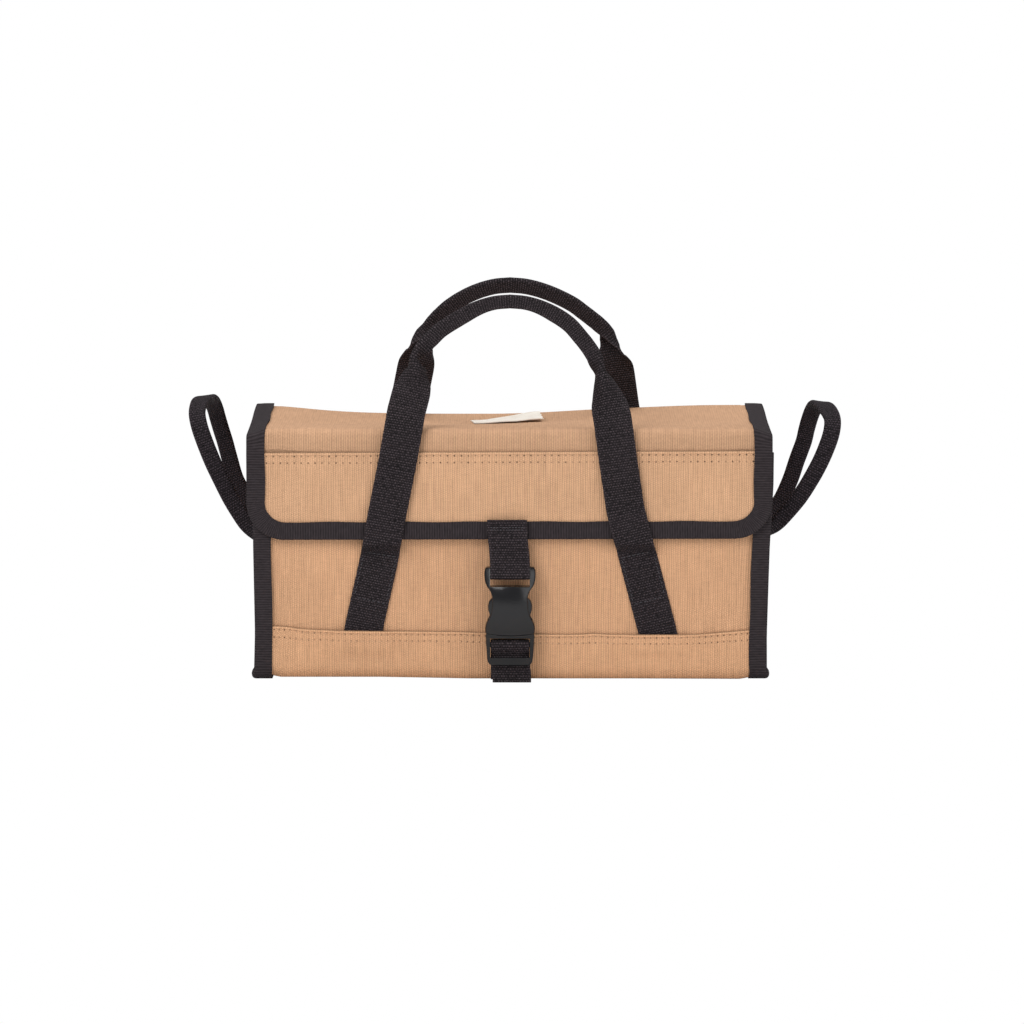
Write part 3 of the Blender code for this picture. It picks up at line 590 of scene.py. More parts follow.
seam_pitch = 0.006
line = [(-half_depth + front_lean(z), z) for z in np.linspace(rim, lean_start, 12)]
line += densify([(-half_depth, lean_start), (-half_depth, lift + corner)], seam_pitch)[1:]
line += under_side(seam_pitch)
line = np.array(line + densify([(half_depth, lift + corner), (half_depth, rim)], seam_pitch)[1:])
offset = -mitres(line)
offset[0], offset[-1] = (-1.0, 0.0), (1.0, 0.0)
flange_out, flange_in = canvas + gap, 2 * canvas + gap
outer_ring = line - flange_out * offset
outer_ring[:, 1] = np.minimum(outer_ring[:, 1], rim)
inner_ring = line - flange_in * offset
inner_ring[0, 1] = inner_ring[-1, 1] = rim
turn_at = half_panel + 0.0008
top_middle = np.array((0.0, rim))
canvas_end = canvas_material("canvas_end", (0.590, 0.336, 0.192))
for side, tag in ((-1, "left"), (1, "right")):
    outer_rows = [upright(side * seam_edge, inner_ring), upright(side * turn_at, inner_ring)]
    inner_rows = [upright(side * seam_edge, outer_ring), upright(side * (turn_at - canvas), outer_ring)]
    # The wall's points draw in to the middle of the rim, so it is one skin to the top
    for share in np.concatenate([np.linspace(1.0, 0.9, 6)[1:], np.linspace(0.9, 0.0, 16)[1:-1], [0.003]]):
        points = top_middle + (inner_ring - top_middle) * share
        wall = half_panel + end_swell(points[:, 0], points[:, 1])
        outer_rows.append(upright(side * wall, points))
        inner_rows.append(upright(side * (wall - canvas), points))
    end = cloth("end_cloth_" + tag, settled(outer_rows), settled(inner_rows), lengths(line),
                np.arange(len(outer_rows)), canvas_end)
    lay_flat(end, lambda points: points[:, 1:])
    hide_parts("end_panel_" + tag)
    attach(end, "bag")


# Binding: dark ribbed tape folded round the body's end seams, its ribs across the tape. It stands
# out further at the bag's corners, where the folds of the seam lie inside it.
tape = 0.0007
tape_width = 0.0117
fin_out = 0.1687
rib_pitch = 0.00165
black = (0.027, 0.0215, 0.0235)
surface = Surface("binding_tape", 0.85, Specular_IOR_Level=0.12)
u, v = surface.cloth()
wander = surface.grain(u * 60.0, v * 120.0, 2.0)
ribs = v.wave(rib_pitch, wander * 3.0)
fine = (u + v.step(rib_pitch) * 0.0004).wave(0.0008)
thread = surface.grain(u * 240.0, v * 600.0)
tone = ribs * 0.50 + fine * 0.12 + thread * 0.55 - 0.10
height = ribs * 0.7 + fine * 0.1 + thread * 0.2
binding = surface.finish(surface.mix(tone, shade(black, 0.35), shade(black, 1.75)), height, 0.0003, 0.9)


def tape_section(tip, low, high, width, soft=0.0012):
    """A folded tape's outer and inner faces across its section, and the distance along it. The
    tape is width wide behind its tip; soft rounds its fold."""
    foot = tip - width
    faces = []
    for back, r in ((0.0, soft), (tape, max(soft - tape, 0.0002))):
        flat = np.linspace(foot, tip - back - r, 6)[:-1]
        face = [(s, high - back) for s in flat]
        face += arc((tip - back - r, high - back - r), r, 90.0, 0.0, 4)
        face += arc((tip - back - r, low + back + r), r, 0.0, -90.0, 4)
        face += [(s, low + back) for s in flat[::-1]]
        faces.append(np.array(face))
    return faces[0], faces[1], lengths(faces[0])


def swept(places, sections):
    """The outer and inner faces of a tape: each place is a point with the ways across and out."""
    return [np.array([point + section[face][:, :1] * across + section[face][:, 1:] * out
                      for (point, across, out), section in zip(places, sections)]) for face in (0, 1)]


for side, tag in ((-1, "left"), (1, "right")):
    places, sections = [], []
    for i, ((y, z), (a, b)) in enumerate(zip(line, offset)):
        places.append((np.array((0.0, y, z)), np.array((side, 0.0, 0.0)), np.array((0.0, a, b))))
        upright_share = smooth((z - 0.0036) / 0.0050)
        level_share = smooth((half_depth - corner - abs(y)) / corner)
        at_corner = (1.0 - upright_share) * (1.0 - level_share)
        knob = 0.0018 * at_corner
        width = tape_width + 0.0002 * math.sin(i * 0.7 + side) + knob
        sections.append(tape_section(fin_out + knob, -flange_in - gap - tape, lift, width,
                                     0.0014 + 0.0012 * at_corner))
    outer, inner = swept(places, sections)
    edge = cloth("end_tape_" + tag, settled(outer), settled(inner), sections[0][2], lengths(line), binding)
    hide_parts("end_binding_" + tag)
    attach(edge, "bag")


# Lid: one cloth over the top, sagging towards the back, rolled down at the front and turned in
# behind the flap.
lid_level = 0.161
lid_half = 0.170
roll = 0.0041
loose_roll = 0.0060
turn_front = half_depth + lift + gap + canvas
cloth_seam = 0.0725


def lid_ripple(x, y):
    """Soft waves of the lid's cloth, flat near its back edge."""
    fade = smooth((0.066 - abs(y)) / 0.02)
    return fade * (0.0003 * np.sin(x * 55.0 + y * 20.0) + 0.0003 * np.sin(x * 23.0 - y * 35.0))


def lid_bow(x, y, z):
    """How far the lid stands up behind its front edge, less and less down its front face."""
    across = smooth((0.1735 - abs(x)) / 0.018)
    return 0.0044 * across * smooth((0.020 - y) / 0.110) * smooth((z - 0.1510) / 0.0115)


def lid_line(radius):
    """The lid's outer face from its back edge to the turned-in end behind the flap."""
    line = [(y, lid_level + canvas) for y in np.linspace(cloth_seam, -turn_front + radius, 40)]
    line += arc((-turn_front + radius, lid_level + canvas - radius), radius, 90.0, 180.0, 12)[1:]
    foot = lid_level + canvas - radius
    line += [(-turn_front, z) for z in np.linspace(foot - 0.0003, 0.140, 9)]
    return np.array(line)


# The roll is tight under the edge tapes and softer between them
tight, loose = lid_line(roll), lid_line(loose_roll)
turned_in_half = 0.1587
half_widths = np.where(tight[:, 1] > 0.1520, lid_half, turned_in_half)
span = np.linspace(-1.0, 1.0, 110)
X = half_widths[:, None] * span
ease = smooth((0.158 - abs(X)) / 0.03)
faces = []
for n in (0.0, canvas):
    edge, middle = tight + n * mitres(tight), loose + n * mitres(loose)
    Y = edge[:, :1] * (1.0 - ease) + middle[:, :1] * ease
    Z = edge[:, 1:] * (1.0 - ease) + middle[:, 1:] * ease
    Z = Z + (lid_sag(X, Y) + lid_ripple(X, Y)) * smooth((Y + 0.074) / 0.02) + lid_bow(X, Y, Z)
    faces.append(np.stack([X, Y + center_y, Z], -1))
canvas_lid = canvas_material("canvas_lid", (0.490, 0.291, 0.175), bold_from=0.146)
top_cloth = cloth("lid_cloth", faces[0], faces[1], span * lid_half, lengths(tight), canvas_lid)
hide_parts("lid_top", "lid_top_front_turn")
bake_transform(top_cloth)

# The lid's back edge, folded down over the back panel and sewn there: the cloth that the lid
# turns on.
hinge_half = 0.1567
hinge_low = 0.1367
bend = 0.0026
line = [(half_depth + gap + canvas, z) for z in np.linspace(hinge_low, 0.1590, 12)]
line += arc((half_depth + gap + canvas - bend, 0.1595), bend, 0.0, 90.0, 6)[1:]
line = np.array(line + [(cloth_seam + gap, lid_level + canvas)])
offset = -mitres(line)
span = np.linspace(-1.0, 1.0, 90)
faces = []
for n in (0.0, -canvas):
    X = np.broadcast_to(hinge_half * span, (len(line), len(span)))
    p = line + n * offset
    Y = np.broadcast_to(p[:, :1], X.shape)
    Z = p[:, 1:] + lid_sag(X, half_depth) * smooth((p[:, 1:] - 0.1370) / 0.015)
    faces.append(np.stack([X, Y + center_y, Z], -1))
hinge_cloth = cloth("lid_hinge_cloth", faces[0], faces[1], span * hinge_half, lengths(line), canvas_lid)
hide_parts("lid_top_rear_turn")
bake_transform(hinge_cloth)

# Flap: the front cloth that hangs from the lid, rounded at its lower corners, with two rows of
# stitches along its top.
flap_top = 0.150
flap_outer = turn_front + gap + canvas
flap_rows = (0.1474, 0.1430)
flap_pitch = 0.00453


def flap_low(x):
    """The flap's lower edge, which climbs a little to the right."""
    return 0.0943 + 0.0024 * x


def flap_rise(x):
    """How far the flap's sewn top edge stands above the level, climbing to the right as well."""
    return 0.0020 + 0.0040 * x


# Half the flap's width against the height above its lower edge, round its lower corners
radius = 0.0232
fall = flap_top - 0.0950
rise = np.concatenate([radius * (1.0 - np.cos(np.radians(np.linspace(4.0, 90.0, 14)))),
                       np.linspace(radius, fall, 16)[1:]])
half = lid_half - radius + np.sqrt(radius ** 2 - np.clip(radius - rise, 0.0, radius) ** 2)
span = np.linspace(-1.0, 1.0, 110)
X = half[:, None] * span
low = flap_low(X) + 0.0010
Z = low + rise[:, None] * (flap_top + flap_rise(X) - low) / fall
free = smooth((0.155 - abs(X)) / 0.02) * smooth((abs(X) - 0.016) / 0.02)
free = free * smooth((Z - 0.108) / 0.012) * smooth((0.1495 - Z) / 0.012)
waves = 0.0003 * np.sin(X * 47.0 + 1.0) + 0.0002 * np.sin(Z * 150.0 + X * 25.0)
Y = -flap_outer - free * (0.0004 + waves) + center_y
# Painted shade in its needle holes, and a painted highlight and a painted shadow line along its turned top
# edge
canvas_flap = canvas_material("canvas_flap", (0.573, 0.338, 0.199),
                              [(level, flap_pitch) for level in flap_rows], ((flap_top, -1.0),))
front_flap = sheet_of("flap_cloth", np.stack([X, Y, Z], -1), canvas, span * lid_half, rise, canvas_flap)
lay_flat(front_flap, lambda points: np.stack([points[:, 0], points[:, 2] - flap_rise(points[:, 0])], -1))
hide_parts("lid_front")
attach(front_flap, "flap")
xs = np.arange(-35, 36) * flap_pitch
ys = np.full(len(xs), -flap_outer + center_y)
rows = [(np.stack([xs, ys, level + flap_rise(xs)], -1), (0.0, -1.0, 0.0)) for level in flap_rows]
flap_thread = threads("thread_flap", rows, flap_pitch, tan_radius, thread_tan)
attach(flap_thread, "flap")

# Edge tape: one binding from the lid's back corner along its side, over the front corner and
# round the flap to the other side.
tape_ends = (-0.1718, 0.1710)
tape_front = -0.07965
tape_back = 0.0759
tape_half = 0.00155
turn = 0.0245
middle_level = lid_level + canvas / 2
side_path = densify([(tape_back, middle_level), (-turn_front + roll, middle_level)], 0.005)
side_path += arc((-turn_front + roll, lid_level + canvas - roll), roll - canvas / 2, 90.0, 180.0, 6)[1:]
side_path += [(-0.0786, 0.1550), (-0.0792, 0.1525), (tape_front, 0.1500)]
side_path = np.array(side_path)
side_places = []
for edge_x in tape_ends:
    side = math.copysign(1.0, edge_x)
    for (y, z), (a, b) in zip(side_path, -mitres(side_path)):
        level = z + float(lid_sag(0.171, y) * smooth((y + 0.074) / 0.02))
        spread = side * 0.0007 * smooth((y + 0.020) / 0.080)
        side_places.append((np.array((edge_x + spread, y, level)), np.array((side, 0.0, 0.0)),
                            np.array((0.0, a, b))))
# Down the flap's left side, along its lower edge and up its right side
left, right = tape_ends
low_left, low_right = flap_low(-0.171) + turn, flap_low(0.171) + turn
around = [(left, z) for z in np.linspace(0.147, low_left, 10)]
around += arc((left + turn, low_left), turn, 180.0, 270.0, 14)[1:]
around += [(x, flap_low(x)) for x in np.linspace(left + turn, right - turn, 90)[1:]]
around += arc((right - turn, low_right), turn, 270.0, 360.0, 14)[1:]
around += [(right, z) for z in np.linspace(low_right, 0.147, 10)[1:]]
places = side_places[:len(side_path)]
places += [(np.array((x, tape_front, z)), -np.array((a, 0.0, b)), np.array((0.0, -1.0, 0.0)))
           for (x, z), (a, b) in zip(around, mitres(around))]
places += side_places[:len(side_path) - 1:-1]
sections = []
for i, (point, across, out) in enumerate(places):
    # A little wider along the sides, and never quite even
    width = tape_width + 0.0004 * smooth((abs(point[0]) - 0.160) / 0.008) + 0.00025 * math.sin(i * 0.45)
    sections.append(tape_section(0.0, -tape_half, tape_half, width))
outer, inner = swept(places, sections)
for face in (outer, inner):
    face[..., 2] += lid_bow(face[..., 0], face[..., 1], face[..., 2])
    nick = 0.0024 * smooth((abs(face[..., 0]) - 0.1660) / 0.0050)
    face[..., 1] = np.minimum(face[..., 1], tape_back - nick) + center_y
along = lengths([place[0] for place in places])
edge_tape = cloth("edge_tape", outer, inner, sections[0][2], along, binding)
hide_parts("lid_side_binding_left", "lid_side_binding_right", "flap_binding")
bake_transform(edge_tape)

# Label: a small piece of cream cloth, sewn on the lid at a slight angle, a little crumpled and
# standing up at its right end.
label_cloth = Surface("label_cloth", 0.9, Specular_IOR_Level=0.2)
u, v = label_cloth.cloth()
weave = u.wave(0.0006) * 0.5 + v.wave(0.0006) * 0.5
stain = label_cloth.noise(160.0, 3.0)
label_cloth.finish(label_cloth.mix(stain, (0.74, 0.67, 0.58, 1.0), (0.90, 0.85, 0.78, 1.0)),
                   weave + stain * 1.5, 0.0003, 0.7)
half_wide, half_high = 0.023, 0.013
label_x, label_y = -0.002, 0.017
label_thick = 0.0006
us = np.linspace(-half_wide, half_wide, 36)
vs = np.linspace(-half_high, half_high, 22)
U, V = np.meshgrid(us, vs)
ragged = 0.0003 * np.sin(U * 900.0) * (abs(V) > 0.0125) + 0.0003 * np.sin(V * 800.0) * (abs(U) > 0.0225)
turned = math.radians(5.0)
toward_right, toward_back = smooth((U / half_wide + 0.8) / 1.8), (V / half_high + 1.0) / 2
X = label_x + (U + ragged) * math.cos(turned) - V * math.sin(turned)
Y = label_y + U * math.sin(turned) + (V + ragged) * math.cos(turned)
lid_face = lid_level + canvas
Z = lid_face + gap + label_thick + lid_sag(X, Y) + lid_ripple(X, Y) + lid_bow(X, Y, lid_face)
crumple = 0.0002 * np.sin(U * 260.0) * np.cos(V * 300.0) + 0.0002
Z = Z + toward_right * (0.0012 + 0.0030 * toward_back) + crumple
label = sheet_of("sewn_label", np.stack([X, Y + center_y, Z], -1), label_thick, us, vs,
                 label_cloth.material)
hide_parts("label")
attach(label, "lid")


# Webbing: flat dark straps with staggered rows of small bumps, each caught by the light more or
# less, and smooth edges.
def webbing_material(name, color, half):
    surface = Surface(name, 0.75, Specular_IOR_Level=0.12)
    u, v = surface.cloth()
    row_pitch, bump_pitch = 0.00162, 0.00178
    ridge = v.wave(row_pitch)
    cells = (u + v.step(row_pitch) * (bump_pitch / 2)).wave(bump_pitch) * ridge
    thread = surface.grain(u * 620.0, v * 620.0)
    patch = surface.noise(60.0, 2.0)
    edge = u.math("ABSOLUTE", u, 0.0).near(half - 0.0004, 0.0012)
    # The thread noise picks out which bumps catch the light
    lit = cells * (thread * 4.4 - 1.40)
    tone = lit * 1.05 + ridge * 0.10 + patch * 0.16 + edge * 0.14 - 0.02
    height = cells * 0.9 + ridge * 0.4 + thread * 0.3 - edge * 0.3
    return surface.finish(surface.mix(tone, shade(color, 0.22), shade(color, 4.4)), height, 0.0005, 1.0)


strap_half = 0.0125
edge_round = 0.0009
fold_radius = 0.0017
webbing_dark = webbing_material("webbing_dark", (0.0163, 0.0127, 0.0142), strap_half)


# Carrying handles: each one strap, sewn low on the panel with a box of stitches at either end,
# standing off it above the root, folded lengthwise above the lid into the grip.
def rounded_edge(half):
    """Distances from a strap's middle, from its edge inwards to where its edge's rounding ends."""
    return half - np.array((0.0, 0.00012, 0.0004, edge_round))


def half_thickness(marks, half):
    """Half a strap's thickness at marks across it, thin at its edges."""
    thin = np.clip((abs(marks) - (half - edge_round)) / edge_round, 0.0, 1.0)
    return webbing / 2 * np.sqrt(1.0 - 0.85 * thin ** 2)


def strip_sections(fold, half, bend_radius, turn=0.0):
    """Outer and inner points (u, w) of a strap folded lengthwise and turned, and its marks, which
    are the distances of these points from its middle."""
    reach = bend_radius * fold / 2
    turn_at = fold_radius * math.pi / 2
    marks = np.concatenate([rounded_edge(half), np.linspace(half - 0.0012, turn_at, 8),
                            np.linspace(turn_at, 0.0, 6)[1:]])
    marks = np.concatenate([marks, -marks[-2::-1]])
    middle, facing = [], []
    for s in marks:
        if s >= reach:
            middle.append((s - reach, 0.0))
            facing.append(0.0)
        elif s > -reach:
            angle = (reach - s) / bend_radius
            middle.append((-bend_radius * math.sin(angle), bend_radius * (1.0 - math.cos(angle))))
            facing.append(angle)
        else:
            far = -reach - s
            middle.append((-bend_radius * math.sin(fold) - far * math.cos(fold),
                           bend_radius * (1.0 - math.cos(fold)) + far * math.sin(fold)))
            facing.append(fold)
    middle, facing = np.array(middle), np.array(facing)
    lean_out = np.stack([np.sin(facing), np.cos(facing)], -1) * half_thickness(marks, half)[:, None]
    spin = np.array(((math.cos(turn), math.sin(turn)), (-math.sin(turn), math.cos(turn))))
    outer, inner = (middle - lean_out) @ spin, (middle + lean_out) @ spin
    both = np.concatenate([outer[:, 0], inner[:, 0]])
    shift = (both.max() + both.min()) / 2
    return outer - (shift, 0.0), inner - (shift, 0.0), marks


def smooth_line(points, steps):
    """A rounded curve through the points, with steps pieces between each two."""
    points = np.array(points, float)
    ends = np.vstack([2 * points[0] - points[1], points, 2 * points[-1] - points[-2]])
    result = []
    for a, b, c, d in zip(ends[:-3], ends[1:-2], ends[2:-1], ends[3:]):
        for t in np.arange(steps) / steps:
            bend = (2 * a - 5 * b + 4 * c - d) * t * t + (3 * b - a - 3 * c + d) * t ** 3
            result.append((2 * b + (c - a) * t + bend) / 2)
    return np.array(result + [points[-1]])


tab_bottom = 0.0235
root = 0.0824
stand_from, stand_to = 0.0845, 0.0930
lean_from = 0.163
leg_top = 0.177
crown = 0.24683
crown_half = 0.0665
grip_half = 0.0105
grip_share = ((1.0, 0.0), (0.970, 0.144), (0.947, 0.259), (0.926, 0.345), (0.893, 0.432), (0.845, 0.511),
              (0.786, 0.592), (0.707, 0.683), (0.601, 0.791), (0.455, 0.882), (0.301, 0.948),
              (0.150, 0.987), (0.0, 1.0))
thread_dark = thread_material("thread_dark", 0.6, 0.25, (0.020, 0.019, 0.022), (0.085, 0.080, 0.090))


def leg_center(z):
    """How far a leg's middle lies from the bag's, less and less towards the grip."""
    return 0.095 - 0.2007 * (z - 0.035)


def on_face(face, heights, marks, z, s):
    """The point of a strap's face at a height and a distance from the strap's middle."""
    row = np.interp(z, heights, np.arange(len(heights)))
    low = int(row)
    line = face[low] + (face[low + 1] - face[low]) * (row - low)
    return read(s, marks[::-1], line[::-1])


def handle(name, side, stand, lean, sway, necks, slim=0.0):
    """A handle's strap from one sewn end to the other, with its stitches. Its grip leans in by
    lean. sway has a table of heights and shifts in millimetres for each leg, the left one first.
    Each neck has the heights where its leg's folding and its turning start and end, and how far
    the narrow place keeps to the outer side. The grip is slim narrower in its middle."""
    # The side view: y against height
    foot = half_depth + gap + webbing / 2
    face = stand + webbing / 2
    top = 0.252
    bend = 0.010
    hug_below = 0.0118
    slope = lean / (top - lean_from)
    profile = [(foot, z) for z in np.linspace(tab_bottom, root, 12)[:-1]]
    profile += [(foot + (face - foot) * smooth(t), stand_from + (stand_to - stand_from) * t)
                for t in np.linspace(0.0, 1.0, 9)]
    profile += [(face, z) for z in np.linspace(0.0945, lean_from - bend - 0.001, 8)]
    profile += [(face - slope * bend * (1.0 + t) ** 2 / 4, lean_from + bend * t)
                for t in np.linspace(-1.0, 1.0, 8)]
    profile = np.array(profile + [(face - lean, top)])
    normals = -mitres(profile)
    along = lengths(profile)
    # The front view: up one leg, round the grip and down the other
    levels = np.concatenate([np.linspace(tab_bottom, root, 22), np.linspace(root, 0.0945, 10)[1:],
                             np.linspace(0.0945, leg_top, 28)[1:-1]])
    half_line = [(leg_center(z), z) for z in levels]
    half_line += [(crown_half * x, leg_top + (crown - leg_top) * z) for x, z in smooth_line(grip_share, 7)]
    half_line = np.array(half_line)
    path = np.concatenate([half_line * (-1.0, 1.0), half_line[-2::-1]])
    path[:, 0] += np.where(path[:, 0] < 0, *[table(path[:, 1], *leg) for leg in sway])
    flat = np.stack([path[:, 0], np.interp(path[:, 1], profile[:, 1], along)], -1)
    outward = mitres(flat)
    # The sewn ends are cut level, although their legs lean
    outward[0], outward[-1] = (-1.02, 0.0), (1.02, 0.0)
    outer, inner = [], []
    for (x, q), (ax, aq), (px, pz) in zip(flat, outward, path):
        fold_from, fold_to, turn_from, turn_to, hug = necks[0 if px < 0 else 1]
        folded = smooth((pz - fold_from) / (fold_to - fold_from))
        turned = smooth((pz - turn_from) / (turn_to - turn_from))
        thinner = slim * smooth((pz - 0.2385) / 0.008)
        half = strap_half + (grip_half - thinner - strap_half) * folded
        curl = fold_radius + 0.0150 * folded * (1.0 - folded)
        a, b, marks = strip_sections(math.pi * folded, half, curl, math.pi / 2 * (folded + turned))
        width = max(a[:, 0].max(), b[:, 0].max()) * 2
        hugged = hug * max(0.0, hug_below - width) / 2 * smooth((0.234 - pz) / 0.008)
        for target, section in ((outer, a), (inner, b)):
            s = section[:, 0] + thinner / 2 + hugged
            at = q + s * aq
            y, z = read(at, along, profile) - section[:, 1] * read(at, along, normals)
            target.append(np.stack([x + s * ax, side * y + center_y, z], -1))
    marks = strip_sections(0.0, strap_half, fold_radius)[2]
    strap = cloth(name, outer, inner, marks, lengths(flat), webbing_dark)
    inset = 0.0105
    count = len(levels)
    rows = []
    for leg in (outer[:count], outer[:-count - 1:-1]):
        for low, high, left, right in ((0.0840, 0.0840, -inset, inset), (0.0535, 0.0535, -inset, inset),
                                       (0.0550, 0.0825, -inset, -inset), (0.0550, 0.0825, inset, inset)):
            places = zip(np.linspace(low, high, 9), np.linspace(left, right, 9))
            rows.append(([on_face(leg, levels, marks, z, s) for z, s in places], (0.0, float(side), 0.0)))
    box = threads(name + "_thread", rows, 0.0032, 0.00030, thread_dark)
    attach(box, "bag")
    return strap


front_sway = (((24, 40, 80, 108, 147, 178, 195, 205.5, 211, 216.6, 222.3, 228.6, 236),
               (-0.7, -0.7, 0.3, -0.4, -0.4, -1.2, 0.0, -0.8, -2.6, -3.5, -2.6, -1.8, 0.0)),
              ((24, 34, 74, 114, 147, 173, 186.5, 195, 200.5, 207.8, 214.9, 221.5, 229.4, 238),
               (1.0, 1.0, -1.5, -4.0, -2.3, -0.6, -0.6, -1.2, -1.7, -2.2, -1.2, -0.9, -0.8, 0.0)))
front_necks = ((0.187, 0.2135, 0.2085, 0.2240, 1.0), (0.174, 0.2080, 0.2010, 0.2150, 0.0))
front_handle = handle("handle_front", -1, 0.0825, 0.0290, front_sway, front_necks, slim=0.0015)
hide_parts("front_handle", "front_handle_tab_left", "front_handle_tab_right")
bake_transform(front_handle)
back_sway = (((203, 211.7, 216, 220.4, 224.7, 229, 233.5),
              (0.0, -1.8, -1.0, -1.4, -1.4, -0.7, 0.0)),
             ((24, 164, 181, 190, 199, 207, 211.7, 216, 220.4, 224.7, 229, 233.5, 238, 246.8),
              (0.0, 6.0, 7.0, 7.4, 6.6, 7.3, 9.0, 9.0, 8.1, 6.5, 4.7, 3.6, 2.2, 0.0)))
back_necks = ((0.187, 0.2200, 0.1930, 0.2260, 0.0), (0.184, 0.2230, 0.1840, 0.2230, 0.0))
back_handle = handle("handle_back", 1, 0.0787, 0.0260, back_sway, back_necks)
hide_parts("back_handle", "back_handle_tab_left", "back_handle_tab_right")
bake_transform(back_handle)

# End loops: each a strap folded lengthwise, sewn flat on the end panel, standing up and out,
# with its near leg further out than its far leg. The tables are in millimetres: both loops share
# the way from front to back and how flat the strap lies to the panel, each has its own way out
# and up.
loop_half = 0.0109
loop_fold = 0.0012
sewn_x, sewn_top = 159.3, 80.0
sewn = [(sewn_x, 48.7), (sewn_x, 64.0), (sewn_x, sewn_top)]
loop_y = [-50] * 8 + [-49.5, -48, -45.5, -40, -31, -20, -8, 4, 16, 27, 36, 43, 47.5, 49.5] + [50] * 8
loop_flat = [1.0, 1.0, 1.0, 0.75, 0.35, 0.10] + [0.0] * 18 + [0.10, 0.38, 0.80, 1.0, 1.0, 1.0]
loop_paths = (
    (-1, "left", [(165.0, 89.3), (171.2, 97.0), (175.7, 103.3), (183.5, 116.5), (189.7, 129.0),
                  (195.8, 142.0), (201.0, 155.0), (204.2, 164.0), (206.0, 171.0), (206.0, 175.5),
                  (205.0, 177.5), (203.5, 177.8), (202.3, 176.8), (201.3, 174.5), (200.2, 171.0),
                  (199.0, 165.5), (197.8, 158.5), (195.8, 150.0), (193.4, 141.5), (190.2, 129.0),
                  (186.0, 115.0), (178.5, 102.6), (172.7, 95.9), (165.0, 88.0)]),
    (1, "right", [(165.0, 92.5), (172.5, 99.5), (178.0, 106.0), (186.8, 117.5), (193.4, 129.0),
                  (200.0, 142.0), (205.2, 155.0), (207.3, 162.5), (207.8, 168.0), (206.8, 171.0),
                  (205.2, 172.8), (203.8, 173.3), (202.8, 172.8), (201.8, 171.0), (200.6, 168.0),
                  (199.4, 163.5), (198.0, 157.2), (196.5, 150.0), (194.9, 141.5), (190.8, 129.0),
                  (187.0, 115.0), (181.2, 101.0), (174.5, 94.0), (165.5, 86.8)]))
loop_webbing = webbing_material("webbing_loops", (0.0134, 0.0101, 0.0121), loop_half)
outer_face, inner_face, marks = strip_sections(math.pi, loop_half, loop_fold)
for side, tag, out_and_up in loop_paths:
    route = zip(sewn + out_and_up + sewn[::-1], loop_y, loop_flat)
    rows = smooth_line([(x, y, z, flatness) for (x, z), y, flatness in route], 5)
    rows[rows[:, 2] <= sewn_top, 0] = sewn_x
    near = (rows[:, 1] < 0.0) & (rows[:, 2] > sewn_top)
    rows[near, 0] += 0.6 * smooth((rows[near, 2] - 88.0) / 30.0) * smooth(-rows[near, 1] / 40.0)
    points, flatness = rows[:, :3] * 0.001, np.clip(rows[:, 3], 0.0, 1.0)
    top = int(np.argmax(points[:, 2]))
    tangents = np.gradient(points, axis=0)
    tangents /= np.linalg.norm(tangents, axis=1)[:, None]
    # How far each leg leans out for its rise, carried over the top, where it runs level
    steep = abs(tangents[:, 2]) > 0.25
    lean = np.interp(np.arange(len(points)), np.flatnonzero(steep), tangents[steep, 0] / tangents[steep, 2])
    lean = np.convolve(np.pad(lean, 3, "edge"), np.ones(7) / 7, "valid")
    outer, inner = [], []
    for i, (point, tangent) in enumerate(zip(points, tangents)):
        wide = np.array((1.0, 0.0, -lean[i]))
        wide -= tangent * (wide @ tangent)
        wide /= np.linalg.norm(wide)
        thick = np.cross(tangent, wide)
        angle = math.pi / 2 * flatness[i] * (1 if i < top else -1)
        across = wide * math.cos(angle) + thick * math.sin(angle)
        through = thick * math.cos(angle) - wide * math.sin(angle)
        for target, section in ((outer, outer_face), (inner, inner_face)):
            place = point + section[:, :1] * across + (section[:, 1:] - loop_fold) * through
            target.append(place * (side, 1.0, 1.0))
    strap = cloth("loop_" + tag, settled(outer), settled(inner), marks, lengths(points), loop_webbing)
    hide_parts("end_loop_" + tag, "end_loop_tab_front_" + tag, "end_loop_tab_back_" + tag)
    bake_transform(strap)

# Closure straps: the upper one sewn to the flap and looped through the socket's bar, the lower
# one sewn low on the base, threaded through the plug, its free end hanging in front.
plane = 0.0845


def flat_strap(name, line, half, shift):
    """A strap along a side view; shift(y, z) moves it sideways."""
    line = np.array(densify(line, 0.0022))
    offset = mitres(line)
    rounded = rounded_edge(half)
    marks = np.concatenate([-rounded, np.linspace(-half + 0.0014, half - 0.0014, 12), rounded[::-1]])
    y, z = line[:, :1], line[:, 1:]
    X = shift(y, z) + marks
    thick = half_thickness(marks, half)
    faces = [np.stack([X, y + offset[:, :1] * n + center_y, z + offset[:, 1:] * n], -1)
             for n in (thick, -thick)]
    strap = cloth(name, faces[0], faces[1], marks, lengths(line), webbing_dark)
    return strap


def upper_shift(y, z):
    """The upper strap's lean to the left, towards its sewn end."""
    return -0.0020 * smooth((z - 0.076) / 0.030)


def tail_shift(y, z):
    """The lower strap's loose tail, which hangs a little to the right."""
    return 0.0012 * smooth((0.017 - z) / 0.012) * (y < -0.080)


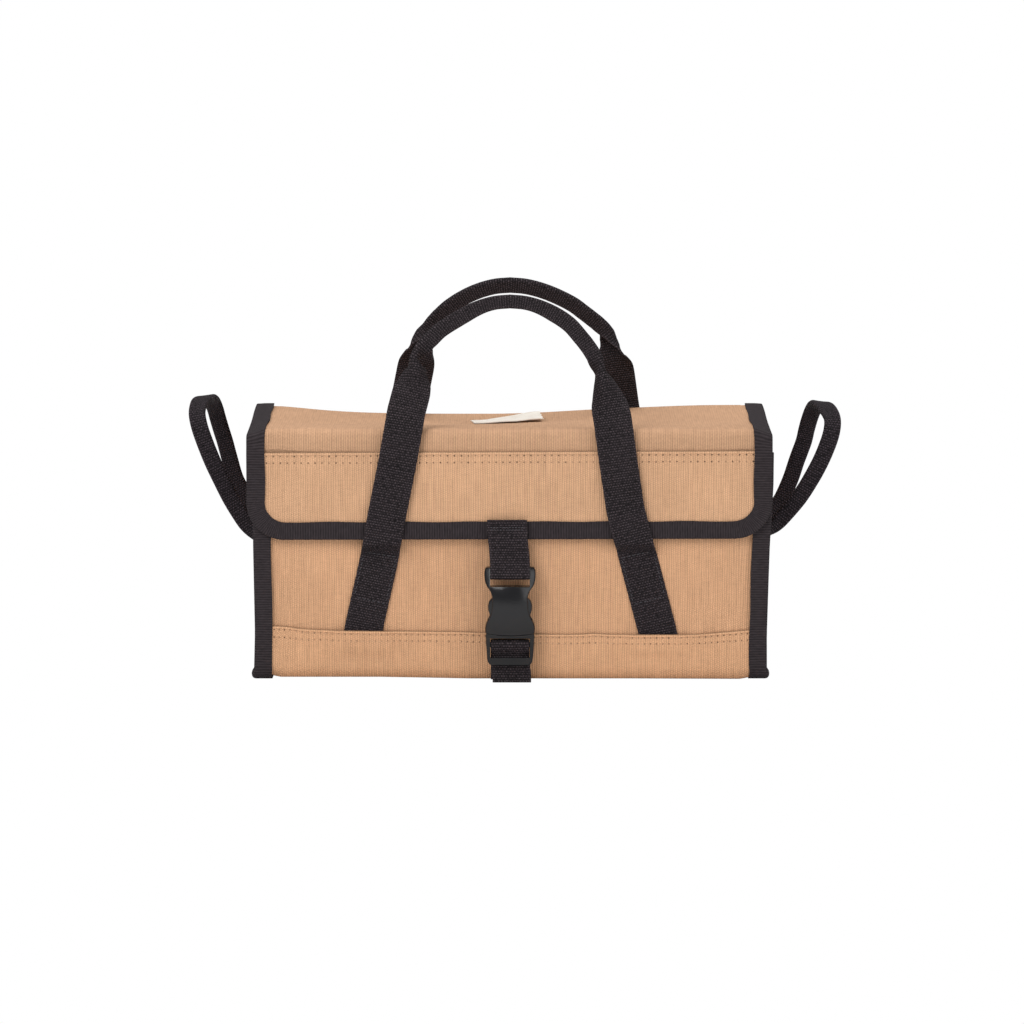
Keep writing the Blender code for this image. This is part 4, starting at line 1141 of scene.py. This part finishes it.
bar_level = 0.0719
around_bar = 0.0016 + gap + webbing / 2
line = [(-0.0823, 0.1074), (-0.0823, 0.0850)]
line += arc((-plane, bar_level), around_bar, 15.0, -195.0, 18)
line += [(-0.0842, 0.0850), (-0.0842, 0.1074)]
strap_up = flat_strap("strap_upper", line, half=0.0130, shift=upper_shift)
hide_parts("upper_strap")
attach(strap_up, "flap")
rows = []
strap_rows = (0.1028, 0.1012, 0.0818)
strap_face = -0.0850
for z in strap_rows:
    xs = np.linspace(-0.0112, 0.0112, 15) + upper_shift(0.0, z)
    ys, zs = np.full(len(xs), strap_face + center_y), np.full(len(xs), z)
    rows.append((np.stack([xs, ys, zs], -1), (0.0, -1.0, 0.0)))
strap_thread = threads("thread_strap", rows, 0.0020, 0.00032, thread_dark)
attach(strap_thread, "flap")
around_plug = 0.0013 + gap + webbing / 2
over_plug = 0.0270 + gap + webbing / 2
line = [(-0.0775, 0.0012), (-0.0775, 0.0090), (-plane + around_plug, 0.01475)]
line += arc((-plane, over_plug - around_plug), around_plug, 0.0, 180.0, 14)
line += [(-plane - around_plug, 0.0238), (-0.0840, 0.0180), (-0.0840, 0.0003)]
strap_low = flat_strap("strap_lower", line, half=0.0126, shift=tail_shift)
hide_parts("lower_strap")
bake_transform(strap_low)

# Buckle: a side-release buckle of black plastic, moulded as a socket and a plug with two prongs.
# Its faces are satin and crowned a little, its edges rounded.
satin = Surface("buckle_satin", 0.21, Specular_IOR_Level=0.38)
grain = satin.noise(900.0, 2.0)
haze = satin.noise(120.0, 2.0)
split = satin.add("ShaderNodeSeparateXYZ", None, {0: satin.place()})
across, up = Signal(satin.tree, split.outputs[0]), Signal(satin.tree, split.outputs[2]) - 0.050
bulge = across * across * -14.0 - up * up * 8.0
edges = satin.add("ShaderNodeBevel", {"samples": 6}, {"Radius": 0.0007})
satin.finish(satin.mix(haze, (0.0030, 0.0030, 0.004, 1.0), (0.0065, 0.0065, 0.008, 1.0)),
             bulge + grain * 0.00003, 1.0, 1.0, edges.outputs[0])
for node in ("buckle_socket", "buckle_plug", "buckle_prong_left", "buckle_prong_right"):
    for material_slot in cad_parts[node].material_slots:
        material_slot.material = satin.material
